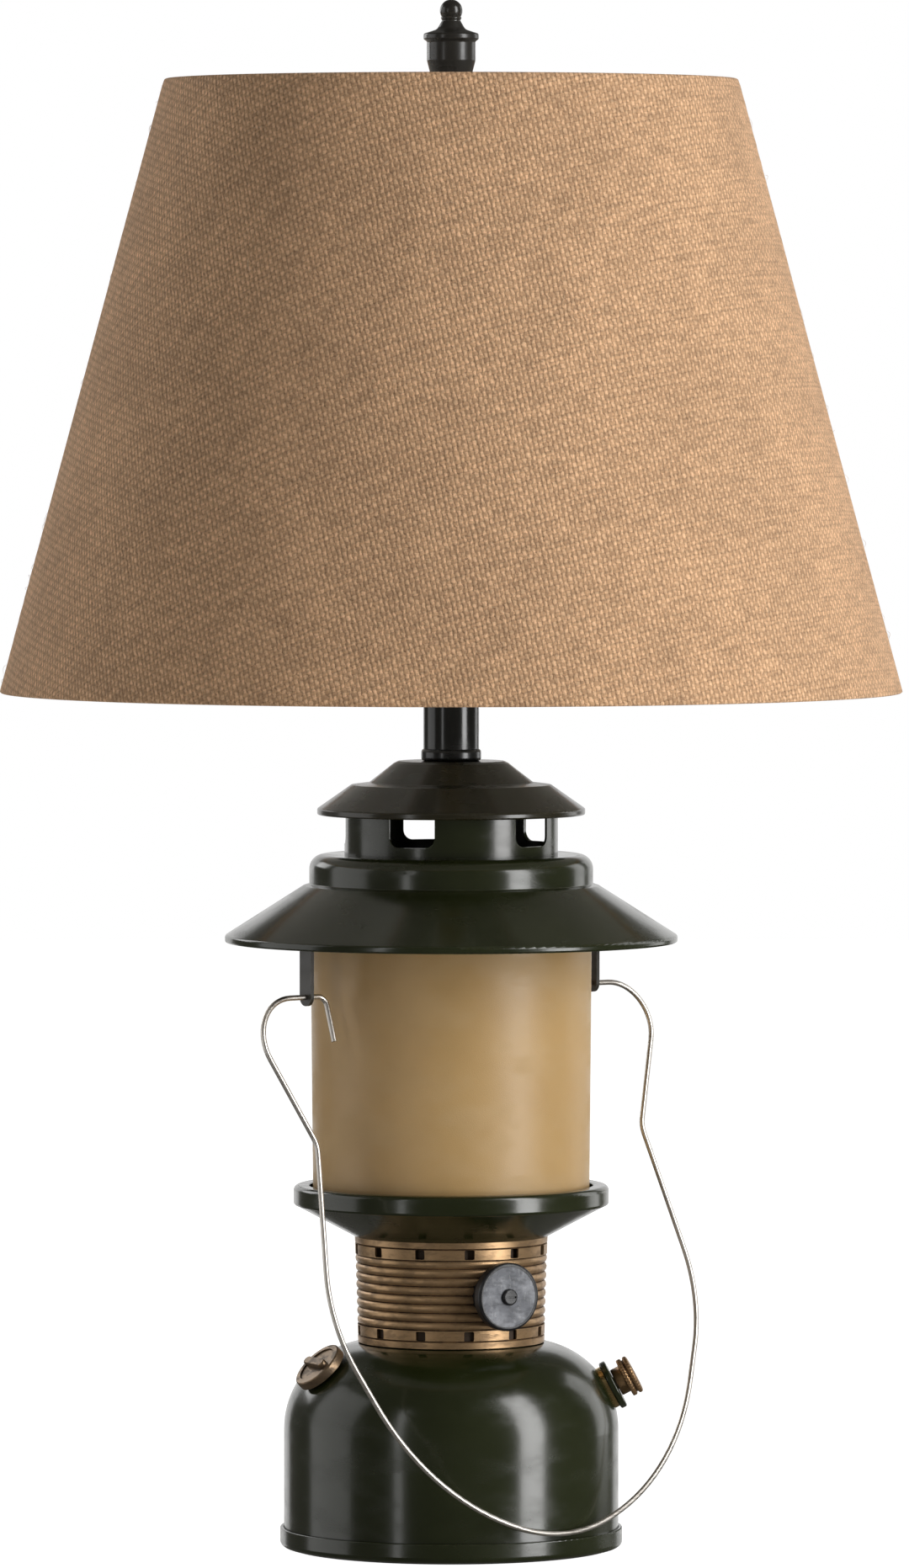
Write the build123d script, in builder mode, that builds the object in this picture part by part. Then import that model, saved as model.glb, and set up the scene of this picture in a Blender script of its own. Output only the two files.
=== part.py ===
"""Table lamp in the form of a camping lantern, under a cone shade.

Millimetres, +Z up, front towards -Y. The origin is the centre of the base's underside. A threaded
lamp pipe runs up the axis and clamps tank, collar, gallery, globe, hood, chimney, cap and neck.
An azimuth is counted from the front, -Y, and is positive to the right, +X.
"""
from math import cos, hypot, radians, sin
import os

from build123d import *

os.makedirs("parts", exist_ok=True)


def heading(azimuth, elevation=0.0):
    """Give the unit direction at an azimuth and an elevation in degrees."""
    level = cos(radians(elevation))
    return Vector(level * sin(radians(azimuth)), -level * cos(radians(azimuth)), sin(radians(elevation)))


def outward_plane(azimuth, radius, height, elevation=0.0):
    """Give a plane on a ray from the axis: its normal points outward and its x axis is level."""
    origin = heading(azimuth) * radius + Vector(0, 0, height)
    level = Vector(cos(radians(azimuth)), sin(radians(azimuth)), 0)
    return Plane(origin=origin, x_dir=level, z_dir=heading(azimuth, elevation))


# Driving dimensions
sheet = 1.2                 # wall of the pressed metal parts
pipe_r = 5.1                # threaded lamp pipe
pipe_bore_r = 3.5
pipe_hole_r = 5.2           # hole for the pipe in everything it clamps

base_r = 77.5               # skirt of the base pan
skirt_top = 9.4
pan_floor = 3.4             # top of the pan's floor
felt_thickness = 2.0
ballast_top = 21.4

tank_r = 75.8
tank_top = 93.5
shoulder_r = 39.6
shoulder_centre_r = tank_r - shoulder_r
shoulder_centre_z = tank_top - shoulder_r
cord_z = 19.8               # height of the cord's way in, at the back

collar_top = 141.4
collar_bottom_r = 42.2
collar_top_r = 43.7
rib_count = 8
rib_depth = 1.2
slot_count = 12
slot_width = 4.6
band_height = 4.9

rim_r = 71.4                # gallery's upright rim
rim_bottom = 155.4
rim_top = 164.5
rim_opening_r = 64.2
globe_bottom = 152.9
globe_top = 299.5
globe_bottom_r = 62.5
globe_top_r = 63.8
glass = 2.4

brim_r = 102.4              # hood
brim_bottom = 274.6
hood_step = 300.2           # where the hood's cone meets its drum
drum_r = 64.2
hood_top = 314.3
chimney_r = 48.3
chimney_top = 341.0
window_count = 5
window_azimuth = -22.0
cap_top = 356.5

neck_r = 12.6
neck_bottom = 362.0
neck_top = 436.0
saddle_z = 439.0            # underside of the harp saddle
harp_foot = 28.5            # half the distance between the harp's feet
harp_wire_r = 1.6
harp_top = 654.0            # top of the stud's seat
stud_r = 3.175

shade_bottom_r = 204.0
shade_bottom = 387.6
shade_top_r = 129.6
shade_top = 663.9
fabric = 1.0
lining = 0.8
ring_wire_r = 1.5

finial_bottom = 656.6
finial_top = 700.0

valve_azimuth = 29.5
valve_z = 117.4
valve_face = 53.0           # distance from the axis to the knob's face
filler_azimuth = -65.0
filler_elevation = 46.0
filler_cap_height = 4.6     # cap's face above the shoulder
pump_elevation = 28.0

bail_azimuth = 40.0         # turn of the bail's pivot line from +X
bail_pivot_z = 252.7
bail_lean = 18.2            # the bail rests on the skirt at this angle from upright
bail_wire_r = 1.2
ear_r = 84.3                # distance from the axis to each ear


def shoulder_plane(azimuth, elevation):
    """Give the plane that touches the tank's round shoulder where it faces that way."""
    radius = shoulder_centre_r + shoulder_r * cos(radians(elevation))
    height = shoulder_centre_z + shoulder_r * sin(radians(elevation))
    return outward_plane(azimuth, radius, height, elevation)


# Working planes
valve_plane = outward_plane(valve_azimuth, valve_face, valve_z)
pump_plane = shoulder_plane(90.0, pump_elevation)
filler_plane = shoulder_plane(filler_azimuth, filler_elevation).offset(filler_cap_height)
cord_plane = outward_plane(180.0, tank_r, cord_z)
valve_axis = Axis(valve_plane.origin, valve_plane.z_dir)
pump_axis = Axis(pump_plane.origin, pump_plane.z_dir)
filler_axis = Axis(filler_plane.origin, filler_plane.z_dir)
bail_line = Vector(cos(radians(bail_azimuth)), sin(radians(bail_azimuth)), 0)
bail_front = Vector(sin(radians(bail_azimuth)), -cos(radians(bail_azimuth)), 0)
bail_down = bail_front * sin(radians(bail_lean)) + Vector(0, 0, -cos(radians(bail_lean)))
bail_plane = Plane(
    origin=(0, 0, bail_pivot_z), x_dir=bail_line, z_dir=bail_line.cross(bail_down)
)

# --- Base ---------------------------------------------------------------------------------------

screw_circle_r = 37.0
screw_head_r = 4.75

with BuildPart() as felt_pad:
    with BuildSketch():
        Circle(73.0)
        with PolarLocations(screw_circle_r, 3):
            Circle(screw_head_r + 0.75, mode=Mode.SUBTRACT)
    extrude(amount=felt_thickness)
felt_pad.part.label = "felt_pad"
export_step(felt_pad.part, "parts/felt_pad.step")

with BuildPart() as base_pan:
    with BuildSketch(Plane.XZ):
        with BuildLine():
            FilletPolyline(
                (0, felt_thickness), (73.2, felt_thickness), (73.6, 0.6), (base_r, 0.6),
                (base_r, skirt_top), (base_r - 1.4, skirt_top), (base_r - 1.4, pan_floor), (0, pan_floor),
                radius=[0, 0, 0, 2.6, 0.5, 0, 0, 0], close=True,
            )
        make_face()
    revolve(axis=Axis.Z)
    with PolarLocations(screw_circle_r, 3):
        Hole(2.6)
base_pan.part.label = "base_pan"
export_step(base_pan.part, "parts/base_pan.step")

with BuildPart() as ballast:
    with BuildSketch(Plane.XY.offset(pan_floor)):
        Circle(60.0)
        Circle(14.0, mode=Mode.SUBTRACT)
        with PolarLocations(screw_circle_r, 3):
            Circle(2.55, mode=Mode.SUBTRACT)
    extrude(amount=ballast_top - pan_floor)
    chamfer(ballast.faces().sort_by(Axis.Z)[-1].outer_wire().edges(), 2.0)
ballast.part.label = "ballast"
export_step(ballast.part, "parts/ballast.step")

with BuildPart() as ballast_screws:
    with BuildSketch(Plane.XY.offset(0.6)):
        with PolarLocations(screw_circle_r, 3):
            Circle(screw_head_r)
    extrude(amount=felt_thickness - 0.6)
    with BuildSketch(Plane.XY.offset(0.6)):
        with PolarLocations(screw_circle_r, 3):
            Rectangle(6.5, 1.1)
    extrude(amount=0.7, mode=Mode.SUBTRACT)
    with BuildSketch(Plane.XY.offset(felt_thickness)):
        with PolarLocations(screw_circle_r, 3):
            Circle(2.5)
    extrude(amount=12.0)
ballast_screws.part.label = "ballast_screws"
export_step(ballast_screws.part, "parts/ballast_screws.step")

# --- Tank ---------------------------------------------------------------------------------------

spout_r = 9.5
barrel_r = 10.0
bushing_r = 6.0

with BuildPart() as tank_shell:
    with BuildSketch(Plane.XZ):
        with BuildLine():
            Line((tank_r, pan_floor), (tank_r, shoulder_centre_z))
            CenterArc((shoulder_centre_r, shoulder_centre_z), shoulder_r, 0, 90)
            Polyline(
                (shoulder_centre_r, tank_top), (pipe_hole_r, tank_top),
                (pipe_hole_r, tank_top - sheet), (shoulder_centre_r, tank_top - sheet),
            )
            CenterArc((shoulder_centre_r, shoulder_centre_z), shoulder_r - sheet, 0, 90)
            Polyline(
                (tank_r - sheet, shoulder_centre_z), (tank_r - sheet, pan_floor), (tank_r, pan_floor)
            )
        make_face()
    revolve(axis=Axis.Z)
    with BuildSketch(filler_plane):
        Circle(spout_r)
    extrude(amount=-20.0, mode=Mode.SUBTRACT)
    with BuildSketch(pump_plane):
        Circle(barrel_r)
    extrude(amount=6.0, both=True, mode=Mode.SUBTRACT)
    with BuildSketch(cord_plane):
        Circle(bushing_r)
    extrude(amount=6.0, both=True, mode=Mode.SUBTRACT)
tank_shell.part.label = "tank_shell"
export_step(tank_shell.part, "parts/tank_shell.step")

with BuildPart() as cord_bushing:
    with BuildSketch(cord_plane):
        Circle(8.6)
    extrude(amount=2.0)
    fillet(cord_bushing.faces().sort_by(Axis.Y)[-1].edges(), 0.8)
    with BuildSketch(cord_plane):
        Circle(bushing_r - 0.05)
    extrude(amount=-6.0)
    with BuildSketch(cord_plane):
        Circle(3.25)
    extrude(amount=6.5, both=True, mode=Mode.SUBTRACT)
cord_bushing.part.label = "cord_bushing"
export_step(cord_bushing.part, "parts/cord_bushing.step")

cap_thickness = 4.0
stem_r = 6.9

with BuildPart() as filler_spout:
    with BuildSketch(filler_plane.offset(-cap_thickness - 0.4)):
        Circle(spout_r)
        Circle(stem_r + 0.1, mode=Mode.SUBTRACT)
    extrude(amount=-14.0)
filler_spout.part.label = "filler_spout"
export_step(filler_spout.part, "parts/filler_spout.step")

with BuildPart() as filler_cap:
    with BuildSketch(filler_plane):
        Circle(12.4)
    extrude(amount=-cap_thickness)
    fillet(filler_cap.faces().sort_by(filler_axis)[-1].edges(), 0.9)
    with BuildSketch(filler_plane):
        Circle(9.6)
    extrude(amount=-0.7, mode=Mode.SUBTRACT)
    with BuildSketch(filler_plane.offset(-0.7)):
        SlotOverall(19.0, 4.2)
    extrude(amount=3.0)
    fillet(filler_cap.faces().sort_by(filler_axis)[-1].edges(), 0.7)
    with BuildSketch(filler_plane.offset(-cap_thickness)):
        Circle(stem_r)
    extrude(amount=-8.0)
filler_cap.part.label = "filler_cap"
export_step(filler_cap.part, "parts/filler_cap.step")

# --- Pump: rod, knob and leather cup slide in the barrel -------------------------------------------

barrel_bore_r = 9.0
rod_r = 3.0
barrel_length = 68.0

with BuildPart() as pump_barrel:
    with BuildSketch(pump_plane.offset(-barrel_length)):
        Circle(barrel_r - 0.05)
    extrude(amount=barrel_length + 0.8)
    with BuildSketch(pump_plane.offset(1.5 - barrel_length)):
        Circle(barrel_bore_r)
    extrude(amount=barrel_length, mode=Mode.SUBTRACT)
    with BuildSketch(pump_plane.offset(-barrel_length)):
        Circle(1.5)
    extrude(amount=2.0, mode=Mode.SUBTRACT)
pump_barrel.part.label = "pump_barrel"
export_step(pump_barrel.part, "parts/pump_barrel.step")

with BuildPart() as pump_cap:
    with BuildSketch(pump_plane.offset(0.9)):
        Circle(11.5)
    extrude(amount=3.0)
    fillet(pump_cap.edges().filter_by(GeomType.CIRCLE), 0.8)
    with BuildSketch(pump_plane.offset(0.9)):
        Circle(barrel_bore_r - 0.05)
    extrude(amount=-8.0)
    with BuildSketch(pump_plane):
        Circle(rod_r + 0.1)
    extrude(amount=10.0, both=True, mode=Mode.SUBTRACT)
pump_cap.part.label = "pump_cap"
export_step(pump_cap.part, "parts/pump_cap.step")

with BuildPart() as pump_rod:
    with BuildSketch(pump_plane.offset(-52.0)):
        Circle(rod_r)
    extrude(amount=62.0)
pump_rod.part.label = "pump_rod"
export_step(pump_rod.part, "parts/pump_rod.step")

knob_back = 8.4             # back of the pump knob's rim, measured out from the shoulder
hub_back = 4.2
hub_r = 6.4
knob_height = 5.2
pump_knob_r = 9.0

with BuildPart() as pump_knob:
    with BuildSketch(Plane(origin=pump_plane.origin, x_dir=pump_plane.x_dir, z_dir=-pump_plane.y_dir)):
        with BuildLine():
            FilletPolyline(
                (rod_r, hub_back), (hub_r, hub_back), (hub_r, knob_back), (pump_knob_r, knob_back),
                (pump_knob_r, knob_back + 2.0), (pump_knob_r - 1.1, knob_back + 2.6),
                (pump_knob_r, knob_back + 3.2), (pump_knob_r, knob_back + knob_height),
                (0, knob_back + knob_height), (0, knob_back + 1.6), (rod_r, knob_back + 1.6),
                radius=[0, 0.6, 0.6, 0.6, 0.3, 0.3, 0.3, 1.2, 0, 0, 0], close=True,
            )
        make_face()
    revolve(axis=pump_axis)
pump_knob.part.label = "pump_knob"
export_step(pump_knob.part, "parts/pump_knob.step")

with BuildPart() as pump_piston:
    with BuildSketch(pump_plane.offset(-50.0)):
        Circle(barrel_bore_r - 0.4)
        Circle(rod_r, mode=Mode.SUBTRACT)
    extrude(amount=7.0)
    with BuildSketch(pump_plane.offset(-50.0)):
        Circle(barrel_bore_r - 1.8)
        Circle(rod_r + 1.6, mode=Mode.SUBTRACT)
    extrude(amount=5.0, mode=Mode.SUBTRACT)
pump_piston.part.label = "pump_piston"
export_step(pump_piston.part, "parts/pump_piston.step")

# --- Collar with its switch -----------------------------------------------------------------------

escutcheon_r = 12.0
collar_height = collar_top - tank_top
collar_slope = (collar_top_r - collar_bottom_r) / collar_height
plain_strip = 3.0           # upper strip, above the slots
lower_strip = 3.2
groove_width = 0.8          # between each strip and its band of slots
groove_depth = 0.7
ribs_bottom = tank_top + lower_strip + band_height
ribs_top = collar_top - plain_strip - band_height
rib_pitch = (ribs_top - ribs_bottom) / rib_count


def collar_radius(height):
    """Give the collar's outer radius at a height."""
    return collar_bottom_r + collar_slope * (height - tank_top)


def groove(middle):
    """Give the outline's three points round a groove at a height."""
    radius = collar_radius(middle)
    return [
        (radius, middle - groove_width / 2), (radius - groove_depth, middle), (radius, middle + groove_width / 2)
    ]


with BuildPart() as collar:
    with BuildSketch(Plane.XZ):
        with BuildLine():
            Polyline(
                (20.0, tank_top), (collar_bottom_r, tank_top), *groove(tank_top + lower_strip),
                (collar_radius(ribs_bottom), ribs_bottom), (collar_radius(ribs_bottom) - rib_depth, ribs_bottom),
            )
            for rib in range(rib_count):
                low = ribs_bottom + rib * rib_pitch
                high = low + rib_pitch
                middle = (low + high) / 2
                ThreePointArc(
                    (collar_radius(low) - rib_depth, low), (collar_radius(middle), middle),
                    (collar_radius(high) - rib_depth, high),
                )
            Polyline(
                (collar_radius(ribs_top) - rib_depth, ribs_top), (collar_radius(ribs_top), ribs_top),
                *groove(collar_top - plain_strip), (collar_top_r, collar_top), (collar_top_r - 4.2, collar_top),
                (collar_bottom_r - 4.2, tank_top + 2.0), (20.0, tank_top + 2.0), (20.0, tank_top),
            )
        make_face()
    revolve(axis=Axis.Z)
    for band_bottom in (tank_top + lower_strip, ribs_top):
        for slot in range(slot_count):
            slot_plane = outward_plane(11.0 + slot * 360 / slot_count, 40.6, band_bottom + band_height / 2)
            with BuildSketch(slot_plane):
                RectangleRounded(slot_width, band_height - 0.5, 0.7)
            extrude(amount=5.0, mode=Mode.SUBTRACT)
    with BuildSketch(valve_plane):
        Circle(escutcheon_r)
    extrude(amount=-25.0, mode=Mode.SUBTRACT)
collar.part.label = "collar"
export_step(collar.part, "parts/collar.step")

escutcheon_face = 45.6 - valve_face
switch_face = 35.8 - valve_face
stem_hole_r = rod_r + 0.06

with BuildPart() as valve_escutcheon:
    with BuildSketch(valve_plane.offset(switch_face)):
        Circle(escutcheon_r - 0.05)
        Circle(stem_hole_r, mode=Mode.SUBTRACT)
    extrude(amount=escutcheon_face - switch_face)
    chamfer(valve_escutcheon.faces().sort_by(valve_axis)[-1].outer_wire().edges(), 0.8)
valve_escutcheon.part.label = "valve_escutcheon"
export_step(valve_escutcheon.part, "parts/valve_escutcheon.step")

with BuildPart() as rotary_switch:
    with BuildSketch(valve_plane.offset(switch_face)):
        RectangleRounded(23.0, 23.0, 3.0)
    extrude(amount=-18.0)
    with BuildSketch(valve_plane.offset(switch_face)):
        Circle(stem_hole_r)
    extrude(amount=-9.0, mode=Mode.SUBTRACT)
rotary_switch.part.label = "rotary_switch"
export_step(rotary_switch.part, "parts/rotary_switch.step")

knob_r = 15.4
knob_thickness = 5.6
face_r = 13.6

with BuildPart() as valve_stem:
    with BuildSketch(valve_plane.offset(-3.0)):
        Circle(rod_r)
    extrude(amount=switch_face + 3.0 - 8.0)
valve_stem.part.label = "valve_stem"
export_step(valve_stem.part, "parts/valve_stem.step")

with BuildPart() as valve_knob:
    with BuildSketch(valve_plane):
        Circle(knob_r)
    extrude(amount=-knob_thickness)
    fillet(valve_knob.edges().filter_by(GeomType.CIRCLE), 1.3)
    with BuildSketch(valve_plane):
        Circle(face_r)
    extrude(amount=-0.8, mode=Mode.SUBTRACT)
    with BuildSketch(valve_plane.offset(-knob_thickness)):
        Circle(7.2)
    extrude(amount=-1.3)
    with BuildSketch(valve_plane.offset(-3.0)):
        Circle(rod_r)
    extrude(amount=-8.0, mode=Mode.SUBTRACT)
    with BuildSketch(valve_plane):
        Circle(1.5)
    extrude(amount=-4.0, mode=Mode.SUBTRACT)
valve_knob.part.label = "valve_knob"
export_step(valve_knob.part, "parts/valve_knob.step")

with BuildPart() as knob_face:
    with BuildSketch(valve_plane.offset(-0.8)):
        Circle(face_r)
        Circle(1.5, mode=Mode.SUBTRACT)
    extrude(amount=0.6)
knob_face.part.label = "knob_face"
export_step(knob_face.part, "parts/knob_face.step")

with BuildPart() as knob_screw:
    with BuildSketch(valve_plane.offset(-0.2)):
        Circle(3.7)
    extrude(amount=1.7)
    fillet(knob_screw.faces().sort_by(valve_axis)[-1].edges(), 0.9)
    with BuildSketch(valve_plane.offset(1.5)):
        Rectangle(5.6, 0.9)
    extrude(amount=-0.8, mode=Mode.SUBTRACT)
    with BuildSketch(valve_plane.offset(-0.2)):
        Circle(1.45)
    extrude(amount=-2.7)
knob_screw.part.label = "knob_screw"
export_step(knob_screw.part, "parts/knob_screw.step")

# --- Gallery, globe, hood, chimney and cap --------------------------------------------------------

with BuildPart() as gallery:
    with BuildSketch(Plane.XZ):
        with BuildLine():
            FilletPolyline(
                (pipe_hole_r, collar_top), (collar_top_r, collar_top), (70.0, rim_bottom),
                (rim_r, rim_bottom + 0.4), (rim_r, rim_top), (rim_opening_r, rim_top),
                (rim_opening_r, rim_top - sheet), (rim_r - sheet, rim_top - sheet),
                (rim_r - sheet, rim_bottom + 1.9), (69.0, rim_bottom + 1.2), (collar_top_r - 0.4, collar_top + 1.3),
                (pipe_hole_r, collar_top + 1.3),
                radius=[0, 0.8, 0.6, 1.4, 2.4, 0.5, 0.5, 1.0, 0.6, 0, 0.5, 0], close=True,
            )
        make_face()
    revolve(axis=Axis.Z)
gallery.part.label = "gallery"
export_step(gallery.part, "parts/gallery.step")

with BuildPart() as globe:
    with BuildSketch(Plane.XZ):
        with BuildLine():
            FilletPolyline(
                (globe_bottom_r, globe_bottom), (globe_top_r, globe_top),
                (globe_top_r - glass, globe_top), (globe_bottom_r - glass, globe_bottom),
                radius=0.9, close=True,
            )
        make_face()
    revolve(axis=Axis.Z)
globe.part.label = "globe"
export_step(globe.part, "parts/globe.step")

hood_inner_r = 66.3
hood_inner_z = hood_step - 1.0
lip_r = brim_r - 1.9
lip_z = brim_bottom + 1.6


def hood_underside(radius):
    """Give the height of the hood cone's underside at a distance from the axis."""
    return hood_inner_z + (radius - hood_inner_r) * (lip_z - hood_inner_z) / (lip_r - hood_inner_r)


with BuildPart() as hood:
    with BuildSketch(Plane.XZ):
        with BuildLine():
            FilletPolyline(
                (brim_r, brim_bottom), (brim_r, brim_bottom + 3.0), (66.9, hood_step),
                (drum_r, hood_step + 0.8), (drum_r, hood_top), (pipe_hole_r, hood_top),
                (pipe_hole_r, hood_top - sheet), (drum_r - sheet, hood_top - sheet),
                (drum_r - sheet, hood_step - 0.2), (hood_inner_r, hood_inner_z), (lip_r, lip_z), (lip_r, brim_bottom),
                radius=[0.9, 1.6, 0.8, 0.5, 6.5, 0, 0, 5.3, 0, 0.5, 0.4, 0.6], close=True,
            )
        make_face()
    revolve(axis=Axis.Z)
hood.part.label = "hood"
export_step(hood.part, "parts/hood.step")

window_bottom = 319.0
window_top = 336.4

with BuildPart() as chimney:
    with BuildSketch(Plane.XY.offset(hood_top)):
        Circle(chimney_r)
        Circle(chimney_r - sheet, mode=Mode.SUBTRACT)
    extrude(amount=chimney_top - hood_top)
    for window in range(window_count):
        window_plane = outward_plane(
            window_azimuth + window * 360 / window_count, 30.0, (window_bottom + window_top) / 2
        )
        with BuildSketch(window_plane):
            RectangleRounded(22.0, window_top - window_bottom, 4.6)
        extrude(amount=30.0, mode=Mode.SUBTRACT)
chimney.part.label = "chimney"
export_step(chimney.part, "parts/chimney.step")

with BuildPart() as top_cap:
    with BuildSketch(Plane.XZ):
        with BuildLine():
            FilletPolyline(
                (60.6, 332.2), (60.6, 335.0), (45.2, 345.8), (37.2, 346.8), (25.9, 355.6), (24.0, cap_top),
                (pipe_hole_r, cap_top), (pipe_hole_r, cap_top - sheet), (23.7, cap_top - sheet),
                (25.2, 354.5), (36.7, 345.6), (44.7, 344.6), (58.9, 334.6), (58.9, 332.2),
                radius=[0.8, 1.2, 0.6, 0.6, 0.6, 0.6, 0, 0, 0.4, 0.4, 0.4, 0.4, 0.4, 0.6], close=True,
            )
        make_face()
    revolve(axis=Axis.Z)
top_cap.part.label = "top_cap"
export_step(top_cap.part, "parts/top_cap.step")

# --- Bail and its ears ------------------------------------------------------------------------------

ear_width = 8.0
ear_thickness = 1.8
foot_length = 11.0
foot_gap = 0.08             # the flat foot lies against the round cone along its middle

with BuildPart() as bail_ears:
    for side in (0.0, 180.0):
        line = bail_line.rotate(Axis.Z, side)
        across = Vector(-line.Y, line.X, 0)
        inner = ear_r - ear_thickness / 2
        outer = ear_r + ear_thickness / 2
        strap_height = hood_underside(outer) - foot_gap - bail_pivot_z
        with BuildSketch(Plane(origin=line * inner + Vector(0, 0, bail_pivot_z), x_dir=across, z_dir=line)):
            Circle(ear_width / 2)
            with Locations((0, strap_height / 2)):
                Rectangle(ear_width, strap_height)
            Circle(bail_wire_r + 0.1, mode=Mode.SUBTRACT)
        extrude(amount=ear_thickness)
        with BuildSketch(Plane(origin=(0, 0, 0), x_dir=line, z_dir=-across)):
            with BuildLine():
                Polyline(
                    (outer, hood_underside(outer) - foot_gap),
                    (outer - foot_length, hood_underside(outer - foot_length) - foot_gap),
                    (outer - foot_length, hood_underside(outer - foot_length) - foot_gap - ear_thickness),
                    (inner, hood_underside(inner) - foot_gap - ear_thickness),
                    (outer, hood_underside(inner) - foot_gap - ear_thickness - 1.0),
                    close=True,
                )
            make_face()
        extrude(amount=ear_width / 2, both=True)
bail_ears.part.label = "bail_ears"
export_step(bail_ears.part, "parts/bail_ears.step")

# The outline runs from one hook's tip over the pivot line, round the bow and back, symmetrically.
tail_x = ear_r - 10.5
bail_half = [(tail_x, 21.0), (tail_x, 0.0), (123.8, 0.0), (95.6, 68.0), (109.4, 150.0), (74.0, 229.5)]
bail_radii = [4.2, 20.0, 13.0, 80.0, 112.0]
bail_outline = bail_half + [(0.0, 258.5)] + [(-x, y) for x, y in reversed(bail_half)]

with BuildPart() as bail:
    with BuildLine(bail_plane) as bail_path:
        FilletPolyline(*bail_outline, radius=bail_radii + [78.0] + bail_radii[::-1])
    with BuildSketch(Plane(origin=bail_path.line @ 0, z_dir=bail_path.line % 0)):
        Circle(bail_wire_r)
    sweep()
bail.part.label = "bail"
export_step(bail.part, "parts/bail.step")

# --- Lamp pipe and neck -----------------------------------------------------------------------------

with BuildPart() as lamp_pipe:
    with BuildSketch(Plane.XY.offset(78.0)):
        Circle(pipe_r)
        Circle(pipe_bore_r, mode=Mode.SUBTRACT)
    extrude(amount=446.0 - 78.0)
    with BuildSketch(outward_plane(valve_azimuth, 0, valve_z)):
        Circle(2.5)
    extrude(amount=pipe_r + 1.0, mode=Mode.SUBTRACT)
lamp_pipe.part.label = "lamp_pipe"
export_step(lamp_pipe.part, "parts/lamp_pipe.step")

with BuildPart() as pipe_washer:
    with BuildSketch(Plane.XY.offset(tank_top - sheet - 1.4)):
        Circle(15.0)
        Circle(pipe_hole_r, mode=Mode.SUBTRACT)
    extrude(amount=1.4)
pipe_washer.part.label = "pipe_washer"
export_step(pipe_washer.part, "parts/pipe_washer.step")

with BuildPart() as pipe_nut:
    with BuildSketch(Plane.XY.offset(tank_top - sheet - 1.4 - 6.0)):
        RegularPolygon(9.0, 6)
        Circle(pipe_r + 0.02, mode=Mode.SUBTRACT)
    extrude(amount=6.0)
pipe_nut.part.label = "pipe_nut"
export_step(pipe_nut.part, "parts/pipe_nut.step")

with BuildPart() as neck_ring:
    with BuildSketch(Plane.XY.offset(cap_top)):
        Circle(13.6)
    extrude(amount=neck_bottom - cap_top)
    fillet(neck_ring.edges().filter_by(GeomType.CIRCLE), 1.6)
    with BuildSketch(Plane.XY.offset(neck_bottom)):
        Circle(neck_r - sheet - 0.05)
    extrude(amount=4.0)
    with BuildSketch(Plane.XY.offset(cap_top)):
        Circle(pipe_hole_r)
    extrude(amount=20.0, mode=Mode.SUBTRACT)
neck_ring.part.label = "neck_ring"
export_step(neck_ring.part, "parts/neck_ring.step")

with BuildPart() as neck_tube:
    with BuildSketch(Plane.XY.offset(neck_bottom)):
        Circle(neck_r)
        Circle(neck_r - sheet, mode=Mode.SUBTRACT)
    extrude(amount=neck_top - neck_bottom)
neck_tube.part.label = "neck_tube"
export_step(neck_tube.part, "parts/neck_tube.step")

with BuildPart() as neck_seat:
    with BuildSketch(Plane.XY.offset(neck_top)):
        Circle(neck_r)
    extrude(amount=saddle_z - neck_top)
    chamfer(neck_seat.faces().sort_by(Axis.Z)[-1].edges(), 0.8)
    with BuildSketch(Plane.XY.offset(neck_top)):
        Circle(neck_r - sheet - 0.05)
    extrude(amount=-5.0)
    with BuildSketch(Plane.XY.offset(neck_top)):
        Circle(pipe_hole_r)
    extrude(amount=10.0, both=True, mode=Mode.SUBTRACT)
neck_seat.part.label = "neck_seat"
export_step(neck_seat.part, "parts/neck_seat.step")

# --- Harp: saddle, bow, sliding ferrules and stud ---------------------------------------------------

saddle_thickness = 1.4
post_top = 455.0
ferrule_bottom = 446.0
ferrule_height = 17.0

with BuildPart() as harp_saddle:
    with BuildSketch(Plane.XY.offset(saddle_z)):
        SlotOverall(2 * harp_foot + 12.0, 12.0)
        Circle(pipe_hole_r, mode=Mode.SUBTRACT)
    extrude(amount=saddle_thickness)
    with BuildSketch(Plane.XY.offset(saddle_z + saddle_thickness)):
        with Locations((-harp_foot, 0), (harp_foot, 0)):
            Circle(3.0)
    extrude(amount=3.0)
    with BuildSketch(Plane.XY.offset(saddle_z + saddle_thickness)):
        with Locations((-harp_foot, 0), (harp_foot, 0)):
            Circle(harp_wire_r)
    extrude(amount=post_top - saddle_z - saddle_thickness)
harp_saddle.part.label = "harp_saddle"
export_step(harp_saddle.part, "parts/harp_saddle.step")

harp_bow_z = harp_top - 4.0
harp_half = [(harp_foot, post_top + 0.1), (harp_foot, 482.0), (55.0, 522.0), (55.0, 596.0), (34.0, harp_bow_z)]

with BuildPart() as harp:
    with BuildLine(Plane.XZ) as harp_path:
        FilletPolyline(
            *harp_half, *[(-x, y) for x, y in reversed(harp_half)],
            radius=[24.0, 30.0, 60.0, 22.0, 22.0, 60.0, 30.0, 24.0],
        )
    with BuildSketch(Plane(origin=harp_path.line @ 0, z_dir=harp_path.line % 0)):
        Circle(harp_wire_r)
    sweep()
harp.part.label = "harp"
export_step(harp.part, "parts/harp.step")

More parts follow.
